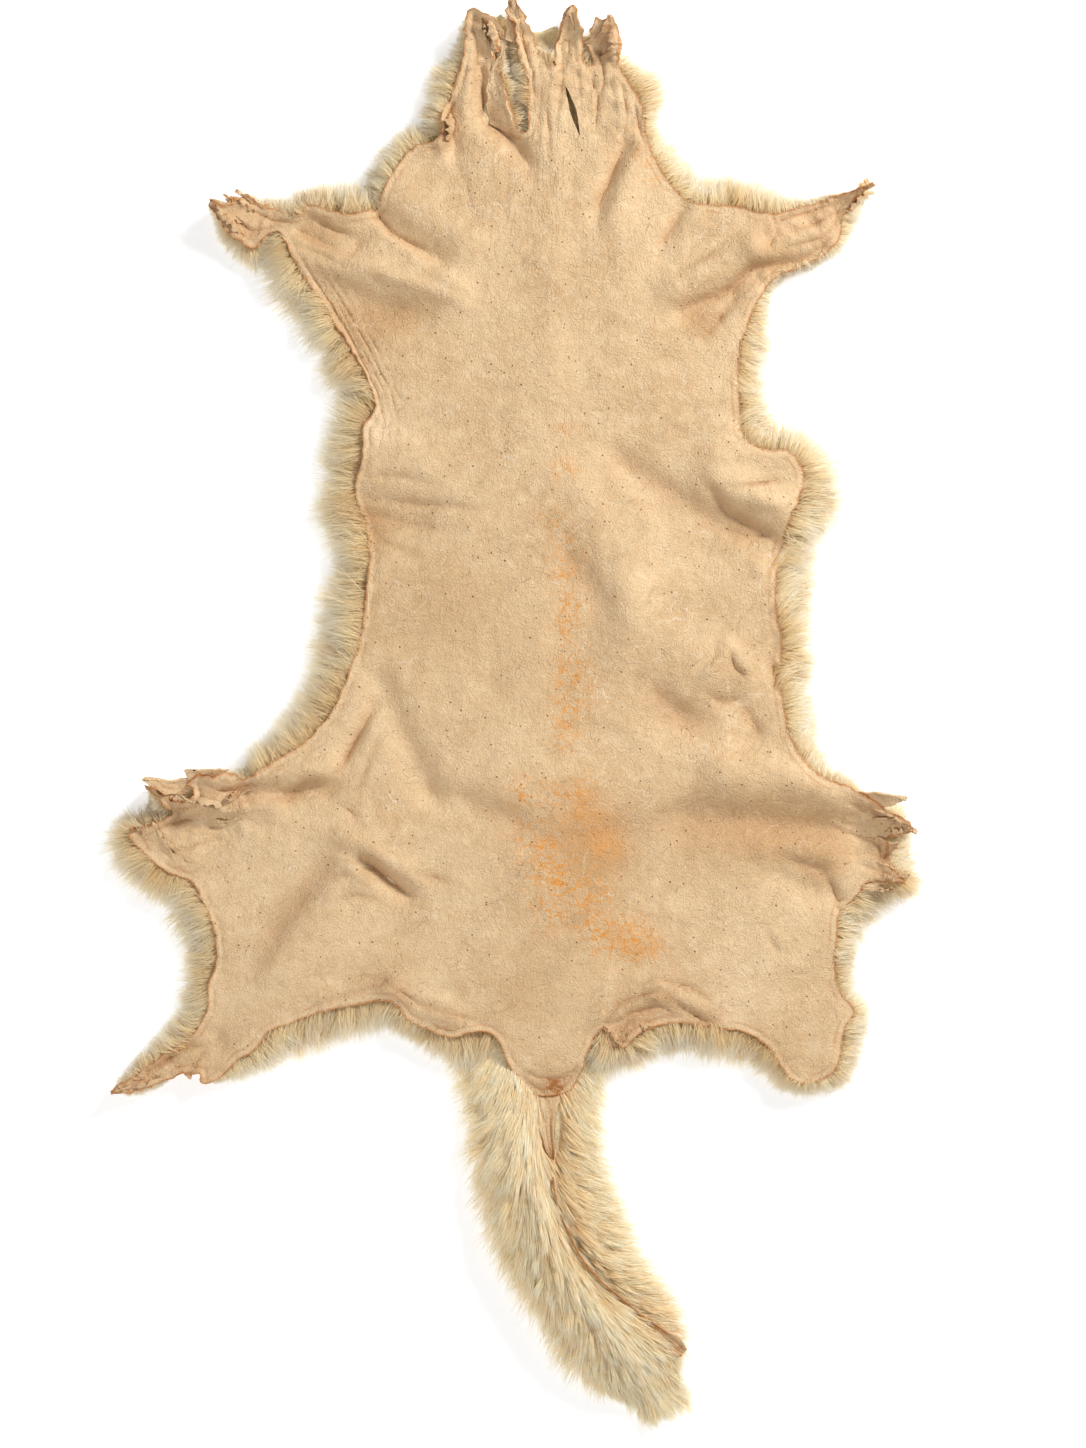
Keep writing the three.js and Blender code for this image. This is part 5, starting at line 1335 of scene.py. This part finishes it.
class Finish:
    """A material that is built layer by layer."""

    def __init__(self, name):
        self.material = bpy.data.materials.new(name)
        self.material.use_nodes = True
        self.tree = self.material.node_tree
        self.shader = self.tree.nodes["Principled BSDF"]
        self.colour = None  # of the layers so far

    def node(self, kind, settings=None, **inputs):
        """A node with its settings, and with its inputs set or joined."""
        made = self.tree.nodes.new(kind)
        for key, value in (settings or {}).items():
            setattr(made, key, value)
        for key, value in inputs.items():
            self.join(made, key, value)
        return made

    def join(self, made, key, value):
        """Sets one input of a node, or links it."""
        slot = made.inputs[int(key[1:])] if key[0] == "_" else made.inputs[key.replace("_", " ")]
        if isinstance(value, bpy.types.NodeSocket):
            self.tree.links.new(value, slot)
        else:
            slot.default_value = value

    def maths(self, operation, a, b=0.0, clamp=False):
        """Arithmetic on two numbers."""
        settings = {"operation": operation, "use_clamp": clamp}
        return self.node("ShaderNodeMath", settings, _0=a, _1=b).outputs[0]

    def times(self, a, b, clamp=False):
        """One number times another."""
        return self.maths("MULTIPLY", a, b, clamp)

    def ramp(self, value, low, high, to_low=0.0, to_high=1.0):
        """The value carried from one range to another, smoothly and held at the ends."""
        settings = {"interpolation_type": "SMOOTHSTEP"}
        made = self.node("ShaderNodeMapRange", settings, _0=value, _1=low, _2=high, _3=to_low, _4=to_high)
        return made.outputs[0]

    def blend(self, share, under, over):
        """One colour over another."""
        made = self.node("ShaderNodeMix", {"data_type": "RGBA"}, _0=share, _6=under, _7=over)
        return made.outputs[2]

    def lay(self, share, *seen):
        """One more colour laid over those before it."""
        self.colour = self.blend(share, self.colour, paint(*seen))

    def noise(self, where, size, detail=2.0, roughness=0.5, distortion=0.0):
        """Even noise with spots of a size in millimetres."""
        made = self.node("ShaderNodeTexNoise", None, Vector=where, Scale=1 / (size * MM), Detail=detail,
                         Roughness=roughness, Distortion=distortion)
        return made.outputs["Fac"]

    def cells(self, where, size, feature="DISTANCE_TO_EDGE"):
        """Distance within cells of a size in millimetres."""
        made = self.node("ShaderNodeTexVoronoi", {"feature": feature}, Vector=where, Scale=1 / (size * MM))
        return made.outputs[0]

    def vector(self, operation, **inputs):
        """Arithmetic on places or colours."""
        return self.node("ShaderNodeVectorMath", {"operation": operation}, **inputs).outputs[0]

    def shaken(self, where, size, amount):
        """Coordinates pushed about by noise, to make straight things wander."""
        push = self.node("ShaderNodeTexNoise", None, Vector=where, Scale=1 / (size * MM), Detail=2.0)
        centred = self.vector("SUBTRACT", _0=push.outputs["Color"], _1=(0.5, 0.5, 0.5))
        scaled = self.vector("SCALE", _0=centred, Scale=amount * MM)
        return self.vector("ADD", _0=where, _1=scaled)

    def mark(self, name):
        """A number that is stored on the mesh."""
        return self.node("ShaderNodeAttribute", {"attribute_name": name}).outputs["Fac"]

    def relief(self, height, depth, under=None):
        """Bump of a depth in millimetres, over another bump."""
        made = self.node("ShaderNodeBump", None, Height=height, Distance=depth * MM, Strength=1.0)
        if under is not None:
            self.tree.links.new(under, made.inputs["Normal"])
        return made.outputs[0]


print("middle grey, 128, is", round(paint(128)[0], 3), "to a shader")

# %% [markdown]
# What changes from place to place on the leather is stored on its points first: how near the cut
# edge is, where fat has dried in as orange stains and veins, where the skin is dark and horny,
# where it lies in a crease and gets painted shade, and where it is painted darker or paler, mostly
# as painted shade in the hollows of its folds. The material then reads these marks.

# %% Marks on the leather
STAINS = [
    # x, y, radius, strength of the orange
    (16, -100, 13, 0.55), (24, -118, 15, 0.9), (30, -130, 10, 0.6), (6, -112, 10, 0.35),
    (-8, -126, 9, 0.4), (2, -146, 10, 0.4), (18, -150, 10, 0.35), (24, -166, 9, 0.5),
    (44, -178, 10, 0.8), (54, -182, 7, 0.5), (34, -176, 8, 0.5), (-14, -98, 8, 0.35), (8, -62, 7, 0.35),
    (8, -30, 6, 0.3), (8, 2, 6, 0.35), (6, 84, 6, 0.3), (4, 108, 5, 0.2), (50, 276, 5, 0.3),
    (-60, 272, 5, 0.3),
]
VEINS = [
    # x, y, radius, strength of the orange squiggles
    (5, 104, 8, 0.4), (5, 84, 8, 0.6), (-2, 56, 9, 0.6), (8, 40, 9, 0.8), (4, 24, 9, 0.8),
    (10, 6, 9, 1.0), (6, -8, 9, 0.8), (10, -28, 11, 1.0), (8, -50, 11, 0.8), (4, -68, 9, 0.6),
    (-18, -100, 12, 0.8), (10, -100, 14, 0.8), (-10, -128, 14, 0.9), (0, -148, 15, 0.9),
    (20, -156, 14, 0.9), (26, -176, 13, 0.9), (46, -180, 14, 0.9), (-4, -166, 10, 0.6),
    (54, 250, 9, 0.5), (46, 262, 7, 0.5),
]
TAN_AND_PAINTED_SHADE = [
    # x, y, radius, strength: darker, mostly as painted shade in fold hollows and under crests, with
    # some uneven tan; paler where it is less than nothing
    (128, -116, 30, 0.5), (96, -120, 30, 0.45), (152, -120, 20, 0.5), (-105, 50, 22, 0.5),
    (-110, 168, 20, 0.25), (-90, 168, 20, 0.3), (-35, -116, 22, 0.35), (-60, 0, 60, 0.2),
    (80, 168, 16, 0.4), (104, 50, 18, 0.4), (-120, 214, 16, 0.3), (-108, 52, 12, 0.5),
    (-8, 207, 40, 0.2), (112, 205, 18, 0.4), (-108, 110, 16, -0.5), (104, -200, 30, -0.45),
    (0, -190, 50, 0.35), (-15, 150, 60, 0.2), (-132, 216, 13, 0.4), (-124, 168, 13, 0.45),
    (-102, 168, 14, 0.4), (-84, 170, 11, 0.4), (128, 204, 16, 0.4), (81, 168, 11, 0.4),
    (104, 50, 11, 0.35), (126, 28, 10, 0.4), (72, -116, 20, 0.4), (112, -118, 16, 0.2),
    (-132, -94, 12, 0.4), (-86, -187, 15, 0.4), (152, -140, 12, 0.45), (-104, 50, 10, 0.3),
    (-92, 108, 14, -0.4), (25, -129, 16, 0.4), (-60, 10, 30, 0.25), (-20, -213, 20, 0.3),
    (60, -213, 13, 0.5), (80, -219, 10, 0.45), (44, -222, 9, 0.35), (-100, -208, 14, 0.25),
    (5, -40, 40, 0.25), (20, -140, 36, 0.25), (-150, 212, 20, 0.3), (-105, -110, 26, 0.2),
    (-40, 0, 40, 0.15), (26, -128, 22, 0.3),
]
HORNY = [
    # x, y, radius, strength of the brown
    (-40, 338, 9, 0.55), (-24, 344, 7, 0.5), (9, 340, 7, 0.6), (31, 330, 9, 0.7), (26, 318, 8, 0.4),
    (-60, 276, 9, 0.45), (-64, 268, 6, 0.5), (50, 282, 6, 0.3), (-188, 230, 12, 0.5),
    (-168, 220, 9, 0.4), (-178, 214, 7, 0.5), (172, 240, 10, 0.55), (160, 230, 8, 0.4),
    (148, 222, 14, 0.25), (120, 222, 12, 0.25), (-190, -92, 11, 0.5), (-176, -98, 9, 0.75),
    (-222, -98, 9, 0.55), (-214, -110, 8, 0.3), (-232, -118, 9, 0.6), (-210, -138, 8, 0.35),
    (-240, -262, 10, 0.6), (-214, -252, 10, 0.5), (-200, -256, 6, 0.5), (-190, -240, 14, 0.3),
    (192, -116, 8, 0.6), (185, -131, 7, 0.9), (192, -145, 7, 0.5), (176, -104, 9, 0.4),
    (34, -234, 8, 0.6), (44, -226, 10, 0.5), (64, -220, 12, 0.3), (84, -224, 8, 0.35),
    (-60, -228, 8, 0.4), (-88, -212, 8, 0.35), (-3, -261, 6, 1.1), (1, -262, 3.5, 1.4),
    (6, -258, 7, 0.4), (150, -254, 9, 0.25), (-10, 300, 10, 0.2), (14, 300, 8, 0.35), (93, 170, 3, 0.9),
    (86, 160, 2.5, 0.8), (57, -398, 6, 0.7), (68, -408, 6, 0.9),
]
# the tail's dried line down the furrow and the slit across its bare patch: their own brown, partly painted
# shade of the groove they lie in
DRIED_LINE_AND_SHADE = [(-2, -302, 9, 0.6), (0, -312, 8, 1), (8, -340, 22, 1), (28, -370, 24, 1), (50, -392, 14, 1)]
SLIT_FROM, SLIT_TO, SLIT_STRENGTH, SLIT_WIDTH = np.array([-3.5, -268.0]), np.array([-0.5, -304.0]), 0.5, 0.8
NECK = [(0, 262, 52, 1.0), (-110, 210, 40, 0.4), (110, 205, 40, 0.4)]
TAIL_FROM, FAR_FROM_EDGE = -268, 30  # mm: the skin of the tail has no worked edge
# a crease this deep in mm gets the full painted shade, and the painted shade is held below the most
CREASE_DEPTH_FOR_FULL_SHADE, MOST_CREASE_SHADE = 2.0, 1.2  # mm for a full mark, and the most that a mark can be


def store(piece, name, values):
    """A number for each point of a piece, for its material to read."""
    layer = piece.data.attributes.new(name, "FLOAT", "POINT")
    layer.data.foreach_set("value", np.asarray(values, np.float32))


co = np.empty(len(hide.data.vertices) * 3, np.float32)
hide.data.vertices.foreach_get("co", co)
skin_xy = co.reshape(-1, 3)[:, :2].astype(float) / MM
away, _ = edge_distance(skin_xy)
away[skin_xy[:, 1] < TAIL_FROM] = FAR_FROM_EDGE
store(hide, "edge_mm", away)
# the last table is mostly painted shade in the hollows of the folds, with some uneven tan
for name, table in (("stain", STAINS), ("vein", VEINS), ("horny", HORNY), ("tan_and_painted_shade", TAN_AND_PAINTED_SHADE)):
    store(hide, name, spots(skin_xy, table))
# how deep each point lies in a crease trough, for the painted shade laid there
store(hide, "painted_crease_shade", np.clip(-crease_rise(skin_xy) / CREASE_DEPTH_FOR_FULL_SHADE, 0, MOST_CREASE_SHADE))
slit_way = SLIT_TO - SLIT_FROM
slit_share = np.clip((skin_xy - SLIT_FROM) @ slit_way / (slit_way**2).sum(), 0, 1)
slit_gap = np.linalg.norm(skin_xy - SLIT_FROM - slit_share[:, None] * slit_way, axis=1)
dried_line_and_shade = spots(skin_xy, DRIED_LINE_AND_SHADE) + SLIT_STRENGTH * np.exp(-((slit_gap / SLIT_WIDTH) ** 2))
store(hide, "dried_line_and_shade", np.clip(dried_line_and_shade, 0, 1))
store(hide, "neck", np.clip(spots(skin_xy, NECK), 0, 1))
print("marks stored on", len(skin_xy), "points")

# %% [markdown]
# The leather is painted as a ground, and one layer laid over another. First the tan itself, with broad
# and middling clouds, and places painted darker or paler: the darker ones are mostly painted shade
# in the hollows of the folds and under their crests, with some uneven tan.

# %% Tan of the leather
WHORLS = 24  # contour lines in the noise that makes the grain's whorls
skin = Finish("tanned_leather")
here = skin.node("ShaderNodeTexCoord").outputs["Object"]
broad = skin.noise(here, 38, 3)
middling = skin.noise(here, 9, 3)
skin.colour = paint(228, 196, 153)
skin.lay(skin.ramp(broad, 0.35, 0.68), 215, 180, 136)
skin.lay(skin.ramp(middling, 0.42, 0.75, 0, 0.5), 241, 214, 174)
# painted shade in the hollows of folds and under their crests, with some uneven tan; paler where the mark
# is below nothing
tan_and_painted_shade = skin.mark("tan_and_painted_shade")
skin.lay(skin.ramp(tan_and_painted_shade, 0, 1.0, 0, 0.8), 194, 152, 104)
skin.lay(skin.ramp(tan_and_painted_shade, -1.0, 0, 0.8, 0), 248, 222, 184)
print("the tan has", len(skin.tree.nodes), "nodes")

# %% [markdown]
# Over the tan lie the marks of the skin itself: its grain of small cells, the whorls that a fleshing
# knife leaves, pale scratches, and the pores, which are brown dots where the hair grows through.

# %% Grain and pores
grain = skin.cells(skin.shaken(here, 3, 1.2), 1.7)
skin.lay(skin.ramp(grain, 0.0, 0.16, 0.14, 0), 176, 138, 100)
worms = skin.cells(skin.shaken(here, 4, 3.2), 5.0)
worm_patches = skin.ramp(skin.noise(here, 16, 2), 0.5, 0.66)
worm_lines = skin.times(skin.ramp(worms, 0.0, 0.06, 1, 0), worm_patches)
swirls = skin.noise(here, 15, 2, 0.45, 0.8)
whorls = skin.maths("SINE", skin.times(swirls, 2 * math.pi * WHORLS))
skin.lay(skin.ramp(whorls, -1.0, -0.2, 0.12, 0), 190, 148, 104)
skin.lay(skin.ramp(whorls, 0.4, 1.0, 0, 0.14), 248, 226, 190)
scratches = skin.cells(skin.shaken(here, 14, 16), 24)
pale_lines = skin.times(skin.ramp(scratches, 0.0, 0.016, 1, 0), skin.ramp(broad, 0.48, 0.6))
skin.lay(skin.times(pale_lines, 0.45), 240, 222, 196)
pores = skin.cells(here, 4.8, "F1")
pore_some = skin.ramp(skin.noise(here, 3.5, 1), 0.44, 0.54)
pore_dots = skin.times(skin.ramp(pores, 0.07, 0.14, 1, 0), pore_some)
skin.lay(skin.times(pore_dots, 0.9), 140, 88, 50)
print("with its grain", len(skin.tree.nodes))

# %% [markdown]
# Then what happened to it: the cut edge has a pale band, a drawn line and a brown rim, the creases
# are darkened with painted shade, fat has dried in as orange stains and squiggles, the thin tips are
# brown as horn, and the tail's dried line and slit are brown, partly painted shade of their groove.

# %% Edge, stains and veins
edge_mm = skin.mark("edge_mm")
band = skin.times(skin.ramp(edge_mm, 0.8, 1.8), skin.ramp(edge_mm, 2.6, 4.2, 1, 0))
skin.lay(skin.times(band, 0.2), 240, 208, 168)
drawn = skin.times(skin.ramp(edge_mm, 3.0, 4.0), skin.ramp(edge_mm, 4.2, 5.4, 1, 0))
drawn = skin.times(drawn, skin.ramp(skin.noise(here, 12, 2), 0.4, 0.6))
skin.lay(skin.times(drawn, 0.5), 196, 146, 100)
# painted shade in the troughs of the creases
skin.lay(skin.times(skin.mark("painted_crease_shade"), 0.42), 186, 144, 104)
stain_noise = skin.noise(here, 5, 4, 0.7)
stain_share = skin.times(skin.mark("stain"), skin.ramp(stain_noise, 0.3, 0.7, 0.35, 1.0))
skin.lay(skin.times(stain_share, 0.72, True), 226, 160, 88)
veins = skin.cells(skin.shaken(skin.shaken(here, 11, 9), 3, 2.5), 10.5)
vein_lines = skin.times(skin.ramp(veins, 0.02, 0.085, 1, 0), skin.ramp(skin.noise(here, 6, 2), 0.42, 0.56))
loops = skin.maths("ABSOLUTE", skin.maths("SUBTRACT", skin.noise(skin.shaken(here, 7, 5), 7.5, 1), 0.5))
loop_lines = skin.ramp(loops, 0.008, 0.035, 1, 0)
squiggles = skin.maths("MAXIMUM", skin.times(vein_lines, 0.8), loop_lines)
vein_share = skin.times(squiggles, skin.mark("vein"))
skin.lay(skin.times(vein_share, 0.9, True), 226, 150, 62)
horny_noise = skin.ramp(skin.noise(here, 4.5, 4, 0.65), 0.34, 0.66, 0.15, 1.1)
horny_share = skin.times(skin.mark("horny"), horny_noise)
skin.lay(skin.times(horny_share, 0.8, True), 168, 108, 58)
rim_noise = skin.ramp(skin.noise(here, 3, 3, 0.7), 0.3, 0.62, 0.4, 1.0)
rim_line = skin.times(skin.ramp(edge_mm, 0.5, 1.5, 1, 0), rim_noise)
skin.lay(skin.times(rim_line, 0.85), 186, 118, 58)
specks = skin.times(skin.ramp(skin.noise(here, 1.1, 2), 0.64, 0.72), skin.ramp(edge_mm, 2, 7, 1, 0))
skin.lay(skin.times(specks, 0.6), 200, 140, 84)
# the tail's dried line and slit: brown, partly painted shade of their groove
skin.lay(skin.mark("dried_line_and_shade"), 184, 128, 74)
skin.join(skin.shader, "Base_Color", skin.colour)
print("with its edge and stains", len(skin.tree.nodes))

# %% [markdown]
# Last, its relief. What is larger than two or three millimetres is in the mesh, and what is finer is
# bump: soft lumps, fine wrinkles, whorls, pebbled grain, the drawn lines of the neck, and pits.

# %% Relief of the leather
skin.join(skin.shader, "Roughness", skin.ramp(middling, 0.3, 0.7, 0.62, 0.8))
skin.shader.inputs["Specular IOR Level"].default_value = 0.3
soft_bumps = skin.relief(skin.noise(here, 7, 4, 0.62), 1.5)
wrinkles = skin.relief(skin.times(worm_lines, -1.0), 0.16, soft_bumps)
ripples = skin.relief(whorls, 0.045, wrinkles)
pebbles = skin.relief(skin.ramp(grain, 0.0, 0.25), 0.14, ripples)
drawn_out = skin.vector("MULTIPLY", _0=skin.shaken(here, 30, 12), _1=(1, 0.07, 1))
neck_lines = skin.times(skin.noise(drawn_out, 2.6, 2), skin.mark("neck"))
pebbles = skin.relief(neck_lines, 0.9, pebbles)
pits = skin.relief(skin.times(pore_dots, -1.0), 0.3, pebbles)
skin.join(skin.shader, "Normal", pits)
hide.data.materials.append(skin.material)
print("leather has", len(skin.tree.nodes), "nodes")

# %% [markdown]
# Each hair is yellower and darker at its root and nearly white at its tip. Its ribbon carries a
# flat map for this: across is the tone of that hair, and up is the way from root to tip. Light goes
# through hair as well as off it, so a share of the shader is translucent.

# %% Hair and felt
def fur(name, through_share, dark, light):
    """A finish of hair. Dark and light are each its colours at the root, the middle and the tip."""
    hair = Finish(name)
    flat_map = hair.node("ShaderNodeUVMap", {"uv_map": "OFBake"}).outputs[0]
    where = hair.node("ShaderNodeSeparateXYZ", None, Vector=flat_map)
    tone, tip = where.outputs[0], where.outputs[1]
    ways = []
    for root, middle, end in (dark, light):
        way = hair.blend(hair.ramp(tip, 0.0, 0.5), paint(*root), paint(*middle))
        ways.append(hair.blend(hair.ramp(tip, 0.42, 1.0), way, paint(*end)))
    colour = hair.blend(hair.ramp(tone, 0.15, 0.85), *ways)
    hair.join(hair.shader, "Base_Color", colour)
    glow = hair.node("ShaderNodeBsdfTranslucent", None, Color=colour)
    shaders = hair.shader.outputs[0], glow.outputs[0]
    both = hair.node("ShaderNodeMixShader", None, _0=through_share, _1=shaders[0], _2=shaders[1])
    hair.tree.links.new(both.outputs[0], hair.tree.nodes["Material Output"].inputs["Surface"])
    hair.shader.inputs["Roughness"].default_value = 0.5
    hair.shader.inputs["Specular IOR Level"].default_value = 0.35
    return hair.material


rim_fur = fur("cream_fur", 0.4, [(208, 164, 100), (243, 218, 167), (255, 248, 230)],
              [(247, 215, 158), (255, 243, 209), (255, 254, 248)])
tail_fur = fur("pale_tail_fur", 0.06, [(242, 194, 134), (255, 226, 172), (255, 243, 210)],
               [(255, 229, 178), (255, 244, 208), (255, 252, 234)])
for piece in coat:
    piece.data.materials.append(rim_fur)
for piece in tail_coat:
    piece.data.materials.append(tail_fur)

felt = Finish("fur_roots")
here = felt.node("ShaderNodeTexCoord").outputs["Object"]
streaks = felt.noise(felt.shaken(here, 12, 10), 3.2, 4, 0.6)
felt.colour = paint(232, 204, 152)
felt.lay(felt.ramp(streaks, 0.35, 0.65), 246, 228, 186)
felt.join(felt.shader, "Base_Color", felt.colour)
felt.shader.inputs["Roughness"].default_value = 0.9
felt.join(felt.shader, "Normal", felt.relief(streaks, 2.0))
body_felt.data.materials.append(felt.material)
tail_felt.data.materials.append(felt.material)
print("finishes:", [material.name for material in bpy.data.materials])

# %% [markdown]
# Last, each piece is told what it stands for in the model: the body it moves with, and the solids
# that it takes the place of, which are hidden.

# %% Declaring the pieces
pieces = (hide, body_felt, tail_felt, *coat, *tail_coat)
for piece in pieces:
    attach(piece, "root")
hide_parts("hide")
for piece in (body_felt, *coat):
    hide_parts("body_fur")
for piece in (tail_felt, *tail_coat):
    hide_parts("tail_fur")
print(len(pieces), "pieces declared")

# %% [markdown]
# The box of the model and the box of the dressed part are written down side by side, so that it
# can be read how far the pieces reach past the solids that they stand for.

# %% Sizes
new_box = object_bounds()
for name, box in (("model", cad_box), ("dressed", new_box)):
    print(name, [[round(value * 1000, 1) for value in corner] for corner in box])
total = 0
for piece in pieces:
    piece.data.calc_loop_triangles()
    total += len(piece.data.loop_triangles)
print("triangles in all", total)
